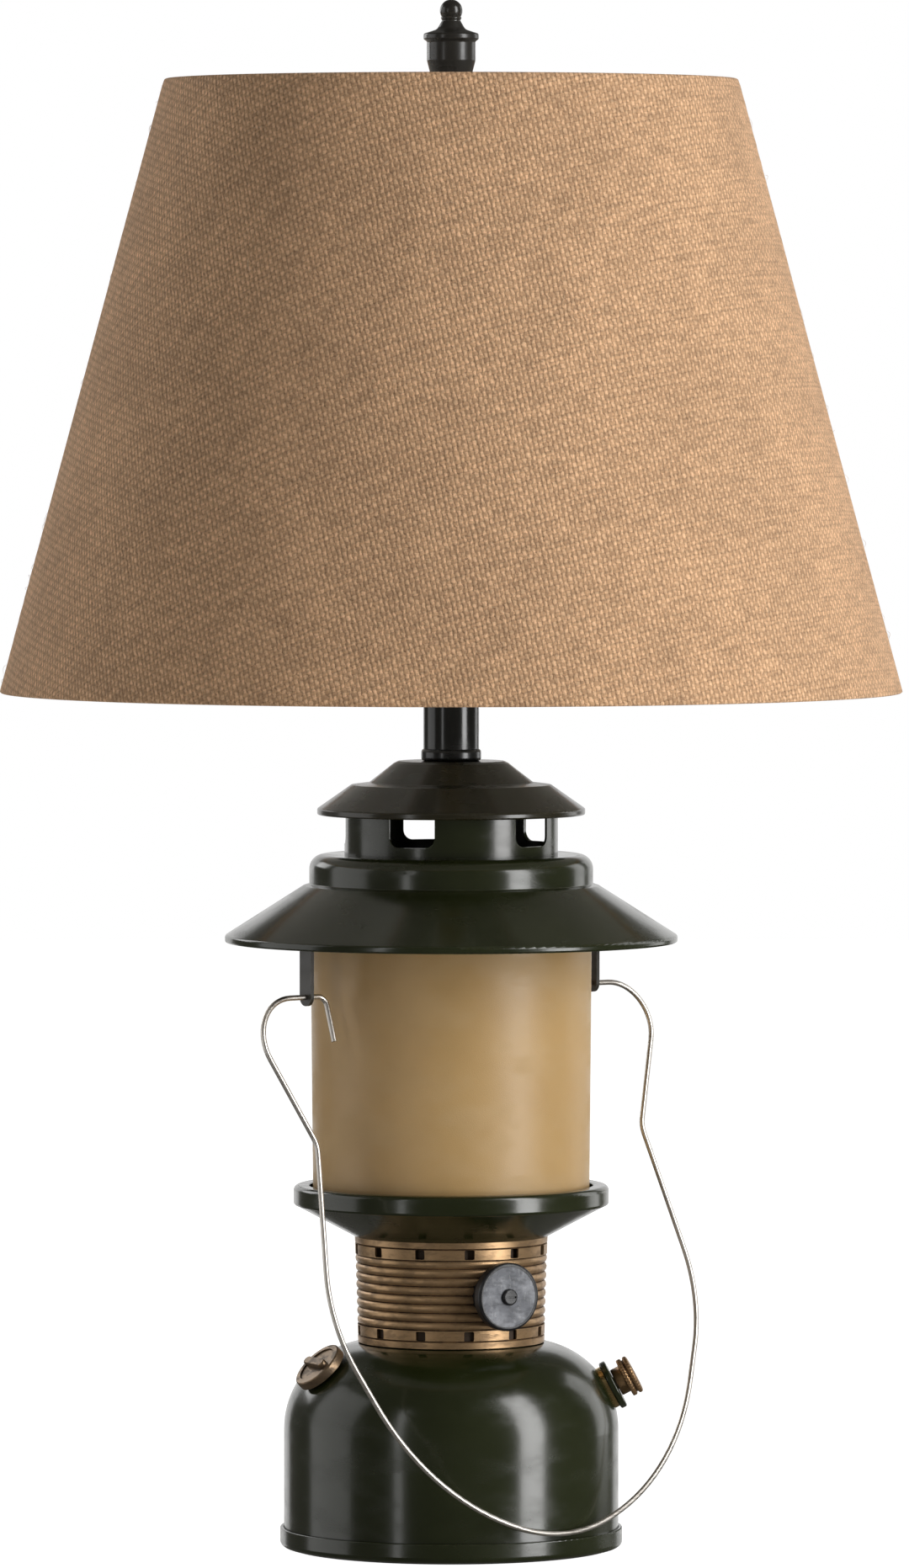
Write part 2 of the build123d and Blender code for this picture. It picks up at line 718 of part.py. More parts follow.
for side, name in ((-1, "left_ferrule"), (1, "right_ferrule")):
    with BuildPart() as ferrule:
        with BuildSketch(Plane.XY.offset(ferrule_bottom)):
            with Locations((side * harp_foot, 0)):
                Circle(3.1)
        extrude(amount=ferrule_height)
        with BuildSketch(Plane.XY.offset(ferrule_bottom)):
            with Locations((side * harp_foot, 0)):
                Circle(4.0)
        extrude(amount=1.6)
        with BuildSketch(Plane.XY.offset(ferrule_bottom)):
            with Locations((side * harp_foot, 0)):
                Circle(harp_wire_r + 0.09)
        extrude(amount=ferrule_height, mode=Mode.SUBTRACT)
    ferrule.part.label = name
    export_step(ferrule.part, f"parts/{name}.step")

with BuildPart() as harp_stud:
    with BuildSketch(Plane.XY.offset(harp_top - 8.0)):
        Circle(8.0)
    extrude(amount=8.0)
    fillet(harp_stud.edges().filter_by(GeomType.CIRCLE), 0.8)
    with BuildSketch(Plane.XY.offset(harp_top)):
        Circle(stud_r)
    extrude(amount=20.0)
    with BuildSketch(Plane.YZ):
        with Locations((0, harp_bow_z)):
            Circle(harp_wire_r)
    extrude(amount=10.0, both=True, mode=Mode.SUBTRACT)
harp_stud.part.label = "harp_stud"
export_step(harp_stud.part, "parts/harp_stud.step")

# --- Socket and bulb --------------------------------------------------------------------------------

socket_bottom = saddle_z + saddle_thickness
socket_r = 17.0
shell_top = 505.0

with BuildPart() as socket_cap:
    with BuildSketch(Plane.XZ):
        with BuildLine():
            FilletPolyline(
                (pipe_r + 0.02, socket_bottom), (8.0, socket_bottom), (8.0, socket_bottom + 5.0),
                (socket_r, socket_bottom + 11.0), (socket_r, socket_bottom + 18.0),
                (socket_r - 0.8, socket_bottom + 18.0), (socket_r - 0.8, socket_bottom + 11.6),
                (pipe_r + 0.02, socket_bottom + 5.8),
                radius=[0, 0, 1.0, 2.0, 0, 0, 1.2, 0], close=True,
            )
        make_face()
    revolve(axis=Axis.Z)
socket_cap.part.label = "socket_cap"
export_step(socket_cap.part, "parts/socket_cap.step")

with BuildPart() as socket_shell:
    with BuildSketch(Plane.XY.offset(socket_bottom + 12.4)):
        Circle(socket_r - 0.85)
        Circle(socket_r - 1.6, mode=Mode.SUBTRACT)
    extrude(amount=shell_top - socket_bottom - 12.4)
socket_shell.part.label = "socket_shell"
export_step(socket_shell.part, "parts/socket_shell.step")

with BuildPart() as socket_liner:
    with BuildSketch(Plane.XY.offset(socket_bottom + 14.0)):
        Circle(socket_r - 1.65)
        Circle(socket_r - 2.25, mode=Mode.SUBTRACT)
    extrude(amount=shell_top + 1.5 - socket_bottom - 14.0)
socket_liner.part.label = "socket_liner"
export_step(socket_liner.part, "parts/socket_liner.step")

contact_z = 474.0

with BuildPart() as socket_body:
    with BuildSketch(Plane.XY.offset(socket_bottom + 14.0)):
        Circle(14.2)
    extrude(amount=contact_z - socket_bottom - 14.0)
socket_body.part.label = "socket_body"
export_step(socket_body.part, "parts/socket_body.step")

with BuildPart() as screw_shell:
    with BuildSketch(Plane.XY.offset(contact_z)):
        Circle(14.2)
        Circle(13.6, mode=Mode.SUBTRACT)
    extrude(amount=28.0)
screw_shell.part.label = "screw_shell"
export_step(screw_shell.part, "parts/screw_shell.step")

with BuildPart() as bulb_base:
    with BuildSketch(Plane.XZ):
        with BuildLine():
            Polyline(
                (0, contact_z), (4.5, contact_z), (4.5, contact_z + 2.0), (9.0, contact_z + 3.5),
                (13.4, contact_z + 7.0), (13.4, contact_z + 28.0), (0, contact_z + 28.0), close=True,
            )
        make_face()
    revolve(axis=Axis.Z)
bulb_base.part.label = "bulb_base"
export_step(bulb_base.part, "parts/bulb_base.step")

bulb_r = 30.0
bulb_centre = 552.0
bulb_neck = contact_z + 28.0
bulb_wall = 0.8
flare = 25.0                # angle below level at which the neck leaves the ball

with BuildPart() as bulb_glass:
    with BuildSketch(Plane.XZ):
        with BuildLine():
            for radius in (bulb_r, bulb_r - bulb_wall):
                CenterArc((0, bulb_centre), radius, -flare, 90 + flare)
                Spline(
                    (13.2 - bulb_r + radius, bulb_neck),
                    (radius * cos(radians(flare)), bulb_centre - radius * sin(radians(flare))),
                    tangents=[(0, 1), (sin(radians(flare)), cos(radians(flare)))],
                )
            Line((13.2, bulb_neck), (13.2 - bulb_wall, bulb_neck))
            Line((0, bulb_centre + bulb_r), (0, bulb_centre + bulb_r - bulb_wall))
        make_face()
    revolve(axis=Axis.Z)
bulb_glass.part.label = "bulb_glass"
export_step(bulb_glass.part, "parts/bulb_glass.step")

# --- Shade and finial -------------------------------------------------------------------------------

shade_slope = (shade_bottom_r - shade_top_r) / (shade_top - shade_bottom)
wall_stretch = hypot(1, shade_slope)
fabric_width = fabric * wall_stretch
lining_width = lining * wall_stretch

with BuildPart() as shade_fabric:
    with BuildSketch(Plane.XZ):
        with BuildLine():
            Polyline(
                (shade_bottom_r, shade_bottom), (shade_top_r, shade_top),
                (shade_top_r - fabric_width, shade_top), (shade_bottom_r - fabric_width, shade_bottom),
                close=True,
            )
        make_face()
    revolve(axis=Axis.Z)
shade_fabric.part.label = "shade_fabric"
export_step(shade_fabric.part, "parts/shade_fabric.step")

with BuildPart() as shade_lining:
    with BuildSketch(Plane.XZ):
        with BuildLine():
            Polyline(
                (shade_bottom_r - fabric_width, shade_bottom), (shade_top_r - fabric_width, shade_top),
                (shade_top_r - fabric_width - lining_width, shade_top),
                (shade_bottom_r - fabric_width - lining_width, shade_bottom),
                close=True,
            )
        make_face()
    revolve(axis=Axis.Z)
shade_lining.part.label = "shade_lining"
export_step(shade_lining.part, "parts/shade_lining.step")

ring_inset = fabric_width + lining_width + ring_wire_r * wall_stretch
top_ring_z = shade_top - ring_wire_r - 0.3
top_ring_r = shade_top_r + shade_slope * (shade_top - top_ring_z) - ring_inset
bottom_ring_z = shade_bottom + ring_wire_r + 0.3
bottom_ring_r = shade_bottom_r - shade_slope * (bottom_ring_z - shade_bottom) - ring_inset

with BuildPart() as shade_top_ring:
    with BuildSketch(Plane.XZ):
        with Locations((top_ring_r, top_ring_z)):
            Circle(ring_wire_r)
    revolve(axis=Axis.Z)
shade_top_ring.part.label = "shade_top_ring"
export_step(shade_top_ring.part, "parts/shade_top_ring.step")

with BuildPart() as shade_bottom_ring:
    with BuildSketch(Plane.XZ):
        with Locations((bottom_ring_r, bottom_ring_z)):
            Circle(ring_wire_r)
    revolve(axis=Axis.Z)
shade_bottom_ring.part.label = "shade_bottom_ring"
export_step(shade_bottom_ring.part, "parts/shade_bottom_ring.step")

hub_bottom = harp_top + 0.3
hub_top = finial_bottom - 0.3
hub_middle = (hub_bottom + hub_top) / 2
arm_wire_r = 1.0

with BuildPart() as shade_spider:
    with BuildSketch(Plane.XY.offset(hub_bottom)):
        Circle(13.0)
        Circle(stud_r + 0.4, mode=Mode.SUBTRACT)
    extrude(amount=hub_top - hub_bottom)
    for arm in range(3):
        arm_plane = Plane(origin=(0, 0, 0), x_dir=heading(60.0 + arm * 120.0), z_dir=heading(-30.0 + arm * 120.0))
        with BuildLine(arm_plane) as arm_path:
            FilletPolyline(
                (9.0, hub_middle), (98.0, hub_middle), (108.0, top_ring_z),
                (top_ring_r - ring_wire_r + 0.1, top_ring_z), radius=6.0,
            )
        with BuildSketch(Plane(origin=arm_path.line @ 0, z_dir=arm_path.line % 0)):
            Circle(arm_wire_r)
        sweep(path=arm_path.line)
shade_spider.part.label = "shade_spider"
export_step(shade_spider.part, "parts/shade_spider.step")

ball_r = 5.1

with BuildPart() as finial:
    with BuildSketch(Plane.XZ):
        with BuildLine():
            FilletPolyline(
                (stud_r + 0.06, finial_bottom), (8.8, finial_bottom), (9.3, 666.0), (11.0, 672.5),
                (11.0, 681.0), (12.5, 682.2), (12.5, 684.6), (6.4, 686.6), (4.1, 690.6),
                (4.8, 691.6), (4.1, 692.6), (4.1, 695.0), (0, 695.0), (0, 676.0), (stud_r + 0.06, 676.0),
                radius=[0, 0.8, 3.0, 2.0, 0.8, 0.8, 1.1, 3.0, 0.8, 0.6, 0.4, 0, 0, 0, 0], close=True,
            )
        make_face()
        with BuildLine():
            CenterArc((0, finial_top - ball_r), ball_r, -90, 180)
            Line((0, finial_top - 2 * ball_r), (0, finial_top))
        make_face()
    revolve(axis=Axis.Z)
finial.part.label = "finial"
export_step(finial.part, "parts/finial.step")
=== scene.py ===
"""Finishes, cloth and fine pieces for a table lamp in the form of a camping lantern.

Metres, +Z up, front towards -Y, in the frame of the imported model. An azimuth is counted from the
front and is positive to the right, +X.
"""
import logging
import math
import random
from collections.abc import Callable
from dataclasses import dataclass, field
from enum import Enum

import bpy
from mathutils import Matrix, Vector


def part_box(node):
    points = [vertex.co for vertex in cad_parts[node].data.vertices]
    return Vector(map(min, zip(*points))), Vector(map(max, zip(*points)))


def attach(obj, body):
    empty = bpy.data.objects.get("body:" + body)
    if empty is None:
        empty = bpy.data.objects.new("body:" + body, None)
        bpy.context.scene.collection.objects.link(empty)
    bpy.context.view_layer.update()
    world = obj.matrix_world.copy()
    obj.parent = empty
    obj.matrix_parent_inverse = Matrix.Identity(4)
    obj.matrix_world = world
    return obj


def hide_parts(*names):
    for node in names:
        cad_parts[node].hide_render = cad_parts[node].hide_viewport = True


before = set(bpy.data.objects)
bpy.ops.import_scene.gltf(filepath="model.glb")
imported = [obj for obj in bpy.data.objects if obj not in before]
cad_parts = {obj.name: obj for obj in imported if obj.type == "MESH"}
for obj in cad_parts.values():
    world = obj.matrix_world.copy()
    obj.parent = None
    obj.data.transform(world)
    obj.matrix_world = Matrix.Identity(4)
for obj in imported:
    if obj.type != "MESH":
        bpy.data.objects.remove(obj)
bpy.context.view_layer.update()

logging.basicConfig(level=logging.INFO, format="%(name)s: %(message)s")
log = logging.getLogger("lantern_lamp")

Colour = tuple[float, float, float]
Value = float | tuple[float, ...] | bpy.types.NodeSocket
MM = 0.001
LINES_ROUND: Colour = (0.05, 0.05, 1.0)  # stretch that lays fine lines round an upright axis


def heading(azimuth: float, elevation: float = 0.0) -> Vector:
    """Give the unit direction of an azimuth and an elevation.

    Args:
        azimuth: degrees from the front, positive to the right.
        elevation: degrees above level.

    Returns:
        The direction, in the lamp's frame.
    """
    level = math.cos(math.radians(elevation))
    turn = math.radians(azimuth)
    return Vector((level * math.sin(turn), -level * math.cos(turn), math.sin(math.radians(elevation))))


# --- Node wiring --------------------------------------------------------------------------------


class Graph:
    """A node tree and the short calls that wire it."""

    def __init__(self, tree: bpy.types.NodeTree) -> None:
        """Take the tree to wire.

        Args:
            tree: a material's, world's or group's node tree.
        """
        self.tree = tree

    def node(self, kind: str, **options: object) -> bpy.types.Node:
        """Add a node.

        Args:
            kind: the node's type, without its ShaderNode prefix.
            **options: the node's own settings.

        Returns:
            The new node.
        """
        made = self.tree.nodes.new("ShaderNode" + kind)
        for option, setting in options.items():
            setattr(made, option, setting)
        return made

    def feed(self, target: bpy.types.NodeSocket, value: Value) -> None:
        """Link a socket to an input, or set the input's own value.

        Args:
            target: the input socket.
            value: a socket to link, or a number or tuple to set.
        """
        if isinstance(value, bpy.types.NodeSocket):
            self.tree.links.new(value, target)
        elif isinstance(value, tuple) and len(value) == 3 and target.type == "RGBA":
            target.default_value = (*value, 1.0)
        else:
            target.default_value = value

    def math(self, operation: str, a: Value, b: Value = 0.0, clamp: bool = False) -> bpy.types.NodeSocket:
        """Work out one operation on two numbers.

        Args:
            operation: the Math node's operation.
            a: the first number.
            b: the second number.
            clamp: whether the result is kept from 0 to 1.

        Returns:
            The result's socket.
        """
        made = self.node("Math", operation=operation, use_clamp=clamp)
        self.feed(made.inputs[0], a)
        if len(made.inputs) > 1:
            self.feed(made.inputs[1], b)
        return made.outputs[0]

    def spread(self, value: Value, low: float, high: float, to_low: Value = 0.0, to_high: Value = 1.0,
               smooth: bool = True) -> bpy.types.NodeSocket:
        """Carry a number from one range to another.

        Args:
            value: the number.
            low: where the first range starts.
            high: where the first range ends.
            to_low: the result at low.
            to_high: the result at high.
            smooth: whether the change eases in and out.

        Returns:
            The result's socket.
        """
        made = self.node("MapRange", interpolation_type="SMOOTHSTEP" if smooth else "LINEAR")
        for socket, number in zip(made.inputs, (value, low, high, to_low, to_high)):
            self.feed(socket, number)
        return made.outputs[0]

    def mix(self, share: Value, a: Value, b: Value, blend: str = "MIX") -> bpy.types.NodeSocket:
        """Mix two colours.

        Args:
            share: how much of b, from 0 to 1.
            a: the first colour.
            b: the second colour.
            blend: the Mix node's way of blending.

        Returns:
            The mixed colour's socket.
        """
        made = self.node("Mix", data_type="RGBA", blend_type=blend)
        self.feed(made.inputs[0], share)
        self.feed(made.inputs[6], a)
        self.feed(made.inputs[7], b)
        return made.outputs[2]

    def place(self) -> bpy.types.NodeSocket:
        """Give the surface point in the lamp's frame at rest."""
        return self.node("TexCoord").outputs["Object"]

    def stretched(self, place: Value, scale: tuple[float, float, float]) -> bpy.types.NodeSocket:
        """Scale a point along each axis.

        Args:
            place: the point.
            scale: the factor on each axis.

        Returns:
            The scaled point's socket.
        """
        made = self.node("VectorMath", operation="MULTIPLY")
        self.feed(made.inputs[0], place)
        made.inputs[1].default_value = scale
        return made.outputs[0]

    def noise(self, place: Value, scale: Value, detail: float = 2.0,
              roughness: float = 0.5) -> bpy.types.NodeSocket:
        """Give smooth noise at a point.

        Args:
            place: the point.
            scale: waves for each metre, about.
            detail: how many finer layers are added.
            roughness: how strong the finer layers are.

        Returns:
            The noise's socket, mostly from 0.3 to 0.7.
        """
        made = self.node("TexNoise")
        self.feed(made.inputs["Vector"], place)
        self.feed(made.inputs["Scale"], scale)
        made.inputs["Detail"].default_value = detail
        made.inputs["Roughness"].default_value = roughness
        return made.outputs["Fac"]

    def bump(self, height: Value, distance: float, strength: float = 1.0) -> bpy.types.NodeSocket:
        """Turn a height into a normal.

        Args:
            height: the relief, from 0 to 1.
            distance: how deep the relief is, in metres.
            strength: how much of it shows.

        Returns:
            The normal's socket.
        """
        made = self.node("Bump")
        made.inputs["Strength"].default_value = strength
        made.inputs["Distance"].default_value = distance
        self.feed(made.inputs["Height"], height)
        return made.outputs["Normal"]

    def effect(self, effect: "Effect", **values: Value) -> bpy.types.Node:
        """Place an effect's group.

        Args:
            effect: the effect.
            **values: its inputs by name, with _ for a space.

        Returns:
            The group node.
        """
        made = self.node("Group")
        made.node_tree = effect.group()
        for name, value in values.items():
            self.feed(made.inputs[name.replace("_", " ")], value)
        return made


class EffectGraph(Graph):
    """A node group's tree with the group's own inputs and outputs."""

    def __init__(self, name: str, inputs: dict[str, float | Colour], outputs: list[str]) -> None:
        """Start a shader node group.

        Args:
            name: the group's name.
            inputs: each input's value at first; a tuple makes a vector.
            outputs: the names of its outputs, which are numbers.
        """
        super().__init__(bpy.data.node_groups.new(name, "ShaderNodeTree"))
        for label, first in inputs.items():
            kind = "NodeSocketVector" if isinstance(first, tuple) else "NodeSocketFloat"
            socket = self.tree.interface.new_socket(label, in_out="INPUT", socket_type=kind)
            socket.default_value = first
        for label in outputs:
            self.tree.interface.new_socket(label, in_out="OUTPUT", socket_type="NodeSocketFloat")
        self.taken = self.tree.nodes.new("NodeGroupInput").outputs
        self.given = self.tree.nodes.new("NodeGroupOutput").inputs


def mottle_group() -> bpy.types.NodeTree:
    """Build the group of uneven patches and fine specks that no finish is free of."""
    graph = EffectGraph("mottle", {"Patches": 18.0, "Specks": 900.0}, ["Patch", "Speck", "Smudge"])
    place = graph.place()
    patch = graph.noise(place, graph.taken["Patches"], 4.0, 0.6)
    graph.feed(graph.given["Patch"], graph.spread(patch, 0.34, 0.66))
    speck = graph.noise(place, graph.taken["Specks"], 1.0)
    graph.feed(graph.given["Speck"], graph.spread(speck, 0.35, 0.65))
    pulled = graph.stretched(place, (1.0, 1.0, 2.4))
    smear = graph.noise(pulled, graph.math("MULTIPLY", graph.taken["Patches"], 2.3), 5.0, 0.55)
    graph.feed(graph.given["Smudge"], graph.spread(smear, 0.40, 0.68))
    return graph.tree


def edge_group() -> bpy.types.NodeTree:
    """Build the group that finds rubbed edges, where a rounded normal leaves the true one."""
    graph = EffectGraph("edge_wear", {"Width": 0.0012, "Reach": 0.5}, ["Mask"])
    bevel = graph.node("Bevel", samples=4)
    graph.feed(bevel.inputs["Radius"], graph.taken["Width"])
    flat = graph.node("NewGeometry").outputs["Normal"]
    facing = graph.node("VectorMath", operation="DOT_PRODUCT")
    graph.feed(facing.inputs[0], bevel.outputs[0])
    graph.feed(facing.inputs[1], flat)
    turned = graph.spread(facing.outputs["Value"], 0.995, 0.86)
    broken = graph.spread(graph.noise(graph.place(), 260.0, 4.0, 0.6), 0.36, 0.60)
    mask = graph.math("MULTIPLY", graph.math("MULTIPLY", turned, broken), graph.taken["Reach"], clamp=True)
    graph.feed(graph.given["Mask"], mask)
    return graph.tree


def dirt_and_shade_group() -> bpy.types.NodeTree:
    """Build the group that finds corners by ambient occlusion, where dirt gathers and painted shade darkens
    the colour.
    """
    graph = EffectGraph("dirt_and_shade", {"Distance": 0.004, "Strength": 1.0}, ["Mask"])
    # Ambient occlusion marks closed corners: the mask darkens them as painted shade, and as dirt.
    hollow = graph.node("AmbientOcclusion", samples=4)
    graph.feed(hollow.inputs["Distance"], graph.taken["Distance"])
    closed = graph.spread(hollow.outputs["AO"], 0.85, 0.25)
    uneven = graph.spread(graph.noise(graph.place(), 150.0, 3.0), 0.25, 0.60, 0.45, 1.0)
    mask = graph.math("MULTIPLY", graph.math("MULTIPLY", closed, uneven), graph.taken["Strength"], clamp=True)
    graph.feed(graph.given["Mask"], mask)
    return graph.tree


def turned_relief_group() -> bpy.types.NodeTree:
    """Build the group that tells crests from hollows on a turned wall round the lamp's axis."""
    graph = EffectGraph(
        "turned_relief", {"Foot Radius": 0.042, "Foot Height": 0.0935, "Slope": 0.03, "Depth": 0.0013},
        ["Crest"],
    )
    parts = graph.node("SeparateXYZ")
    graph.feed(parts.inputs[0], graph.place())
    across = graph.math("MULTIPLY", parts.outputs["X"], parts.outputs["X"])
    deep = graph.math("MULTIPLY", parts.outputs["Y"], parts.outputs["Y"])
    radius = graph.math("SQRT", graph.math("ADD", across, deep))
    rise = graph.math("SUBTRACT", parts.outputs["Z"], graph.taken["Foot Height"])
    wall = graph.math("ADD", graph.taken["Foot Radius"], graph.math("MULTIPLY", rise, graph.taken["Slope"]))
    sunk = graph.math("DIVIDE", graph.math("SUBTRACT", wall, radius), graph.taken["Depth"])
    graph.feed(graph.given["Crest"], graph.spread(sunk, 1.0, 0.25))
    return graph.tree


def drawn_grain_group() -> bpy.types.NodeTree:
    """Build the group of long fine lines that drawing, turning or brushing leaves."""
    graph = EffectGraph("drawn_grain", {"Along": (1.0, 1.0, 0.04), "Fineness": 1800.0}, ["Line"])
    pulled = graph.node("VectorMath", operation="MULTIPLY")
    graph.feed(pulled.inputs[0], graph.place())
    graph.feed(pulled.inputs[1], graph.taken["Along"])
    line = graph.noise(pulled.outputs[0], graph.taken["Fineness"], 2.0, 0.6)
    graph.feed(graph.given["Line"], graph.spread(line, 0.36, 0.64))
    return graph.tree


def plain_weave_group() -> bpy.types.NodeTree:
    """Build the group of a plain weave: threads that pass over and under in turn, with uneven yarn."""
    graph = EffectGraph(
        "plain_weave", {"Cloth": (0.0, 0.0, 0.0), "Warp Pitch": 0.0022, "Weft Pitch": 0.002},
        ["Height", "Warp", "Yarn"],
    )
    parts = graph.node("SeparateXYZ")
    graph.feed(parts.inputs[0], graph.taken["Cloth"])
    wander = graph.noise(graph.taken["Cloth"], 330.0, 4.0, 0.7)
    sway = graph.math("MULTIPLY", graph.math("SUBTRACT", wander, 0.5), 0.0034)
    across = graph.math("DIVIDE", graph.math("ADD", parts.outputs["X"], sway), graph.taken["Warp Pitch"])
    along = graph.math("DIVIDE", graph.math("SUBTRACT", parts.outputs["Y"], sway), graph.taken["Weft Pitch"])
    across_wave = graph.math("SINE", graph.math("MULTIPLY", across, math.pi))
    along_wave = graph.math("SINE", graph.math("MULTIPLY", along, math.pi))
    warp_round = graph.math("POWER", graph.math("ABSOLUTE", across_wave), 0.75)
    weft_round = graph.math("POWER", graph.math("ABSOLUTE", along_wave), 0.35)
    warp_over = graph.math("MULTIPLY", graph.math("SIGN", across_wave), along_wave)
    weft_over = graph.math("MULTIPLY", graph.math("SIGN", along_wave), across_wave)
    warp = graph.math("MULTIPLY", warp_round, graph.spread(warp_over, -0.8, 0.35))
    weft = graph.math("MULTIPLY", weft_round, graph.spread(weft_over, 1.0, -1.0, 0.0, 0.86, smooth=False))
    graph.feed(graph.given["Height"], graph.math("MAXIMUM", warp, weft))
    graph.feed(graph.given["Warp"], graph.spread(graph.math("SUBTRACT", warp, weft), -0.25, 0.25))
    warp_yarn = graph.noise(graph.stretched(graph.taken["Cloth"], (1.0, 0.22, 1.0)), 620.0, 4.0, 0.75)
    weft_yarn = graph.noise(graph.stretched(graph.taken["Cloth"], (0.10, 1.0, 1.0)), 540.0, 4.0, 0.7)
    graph.feed(graph.given["Yarn"], graph.spread(graph.math("ADD", warp_yarn, weft_yarn), 0.70, 1.30))
    return graph.tree


class Effect(Enum):
    """The effects that more than one finish may use."""

    MOTTLE = "mottle"
    EDGE_WEAR = "edge_wear"
    DIRT_AND_SHADE = "dirt_and_shade"
    TURNED_RELIEF = "turned_relief"
    DRAWN_GRAIN = "drawn_grain"
    PLAIN_WEAVE = "plain_weave"

    def group(self) -> bpy.types.NodeTree:
        """Give the effect's node group, built the first time it is asked for."""
        builders: dict[Effect, Callable[[], bpy.types.NodeTree]] = {
            Effect.MOTTLE: mottle_group,
            Effect.EDGE_WEAR: edge_group,
            Effect.DIRT_AND_SHADE: dirt_and_shade_group,
            Effect.TURNED_RELIEF: turned_relief_group,
            Effect.DRAWN_GRAIN: drawn_grain_group,
            Effect.PLAIN_WEAVE: plain_weave_group,
        }
        return bpy.data.node_groups.get(self.value) or builders[self]()


# --- Finishes -----------------------------------------------------------------------------------


def start_material(name: str) -> tuple[bpy.types.Material, Graph, bpy.types.Node]:
    """Start a material.

    Args:
        name: the finish's name.

    Returns:
        The material, its graph and its Principled shader.
    """
    material = bpy.data.materials.new(name)
    material.use_nodes = True
    return material, Graph(material.node_tree), material.node_tree.nodes["Principled BSDF"]


@dataclass(frozen=True)
class Enamel:
    """Stoved enamel on pressed metal, handled and slightly aged."""

    name: str
    colour: Colour
    faded: Colour
    rubbed: Colour
    roughness: float = 0.22
    coat: float = 0.25
    wear: float = 0.5

    def material(self) -> bpy.types.Material:
        """Build the finish's material."""
        material, graph, shader = start_material(self.name)
        mottle = graph.effect(Effect.MOTTLE, Patches=16.0)
        edge = graph.effect(Effect.EDGE_WEAR, Reach=self.wear)
        dirt_and_shade = graph.effect(Effect.DIRT_AND_SHADE, Strength=0.7)
        coat = graph.mix(mottle.outputs["Patch"], self.colour, self.faded)
        rubbed = graph.mix(edge.outputs["Mask"], coat, self.rubbed)
        # Corners and recesses darken toward a dark copy of the paint: dirt, and painted shade where light is
        # blocked.
        dark = tuple(0.35 * part for part in self.colour)
        graph.feed(shader.inputs["Base Color"], graph.mix(dirt_and_shade.outputs["Mask"], rubbed, dark))
        smudge = mottle.outputs["Smudge"]
        dull = graph.spread(smudge, 0.0, 1.0, self.roughness - 0.03, self.roughness + 0.06)
        scuffed = graph.math("MULTIPLY", edge.outputs["Mask"], 0.12)
        graph.feed(shader.inputs["Roughness"], graph.math("ADD", dull, scuffed))
        shader.inputs["Coat Weight"].default_value = self.coat
        shader.inputs["Coat Roughness"].default_value = 0.12
        peel = graph.math("ADD", graph.math("MULTIPLY", smudge, 0.6), mottle.outputs["Speck"])
        graph.feed(shader.inputs["Normal"], graph.bump(peel, 0.00001, 0.3))
        return material


@dataclass(frozen=True)
class AntiqueBronze:
    """Bronze plate, dark brown where polish never reached and bright where hands rub it."""

    name: str
    bright: Colour
    brown: Colour
    metallic: float = 0.75
    roughness: float = 0.34
    turned: bool = False

    def material(self) -> bpy.types.Material:
        """Build the finish's material, with the collar's relief where turned is set."""
        material, graph, shader = start_material(self.name)
        mottle = graph.effect(Effect.MOTTLE, Patches=60.0, Specks=2200.0)
        dirt_and_shade = graph.effect(Effect.DIRT_AND_SHADE, Distance=0.003, Strength=1.0)
        edge = graph.effect(Effect.EDGE_WEAR, Width=0.0009, Reach=0.9)
        smudge = mottle.outputs["Smudge"]
        if self.turned:
            crest = graph.effect(Effect.TURNED_RELIEF).outputs["Crest"]
            rubbed = graph.math("MULTIPLY", crest, graph.spread(smudge, 0.0, 1.0, 1.0, 0.62))
        else:
            rubbed = graph.spread(smudge, 0.0, 1.0, 0.90, 0.40)
        rubbed = graph.math("ADD", rubbed, graph.math("MULTIPLY", edge.outputs["Mask"], 0.5), clamp=True)
        # Corners and recesses are pushed toward the dark brown: patina, and painted shade where light is
        # blocked.
        rubbed = graph.math("SUBTRACT", rubbed, dirt_and_shade.outputs["Mask"], clamp=True)
        graph.feed(shader.inputs["Base Color"], graph.mix(rubbed, self.brown, self.bright))
        graph.feed(shader.inputs["Metallic"], graph.spread(rubbed, 0.0, 1.0, 0.25, self.metallic))
        dull = graph.spread(rubbed, 0.0, 1.0, self.roughness + 0.25, self.roughness)
        graph.feed(shader.inputs["Roughness"], dull)
        relief = graph.math("ADD", mottle.outputs["Speck"], smudge)
        graph.feed(shader.inputs["Normal"], graph.bump(relief, 0.00004, 0.5))
        return material


@dataclass(frozen=True)
class BareMetal:
    """Plated or drawn metal with fine lines and a little tarnish."""

    name: str
    colour: Colour
    tarnish: Colour
    roughness: float = 0.25
    thread_pitch: float = 0.0

    def material(self) -> bpy.types.Material:
        """Build the finish's material, with a screw thread's ridges where it has a pitch."""
        material, graph, shader = start_material(self.name)
        mottle = graph.effect(Effect.MOTTLE, Patches=55.0, Specks=1500.0)
        line = graph.effect(Effect.DRAWN_GRAIN, Along=LINES_ROUND).outputs["Line"]
        dirt_and_shade = graph.effect(Effect.DIRT_AND_SHADE, Distance=0.002, Strength=0.8)
        dulled = graph.math("MULTIPLY", mottle.outputs["Patch"], 0.45)
        # Corners add tarnish colour: real tarnish, and painted shade in recesses.
        dulled = graph.math("ADD", dulled, dirt_and_shade.outputs["Mask"], clamp=True)
        graph.feed(shader.inputs["Base Color"], graph.mix(dulled, self.colour, self.tarnish))
        shader.inputs["Metallic"].default_value = 1.0
        graph.feed(shader.inputs["Roughness"], graph.spread(
            line, 0.0, 1.0, self.roughness - 0.06, self.roughness + 0.10))
        normal = graph.bump(line, 0.00002, 0.35)
        if self.thread_pitch:
            height = graph.node("SeparateXYZ")
            graph.feed(height.inputs[0], graph.place())
            turns = graph.math("MULTIPLY", height.outputs["Z"], 2 * math.pi / self.thread_pitch)
            normal = graph.bump(graph.math("SINE", turns), 0.0003)
        graph.feed(shader.inputs["Normal"], normal)
        return material


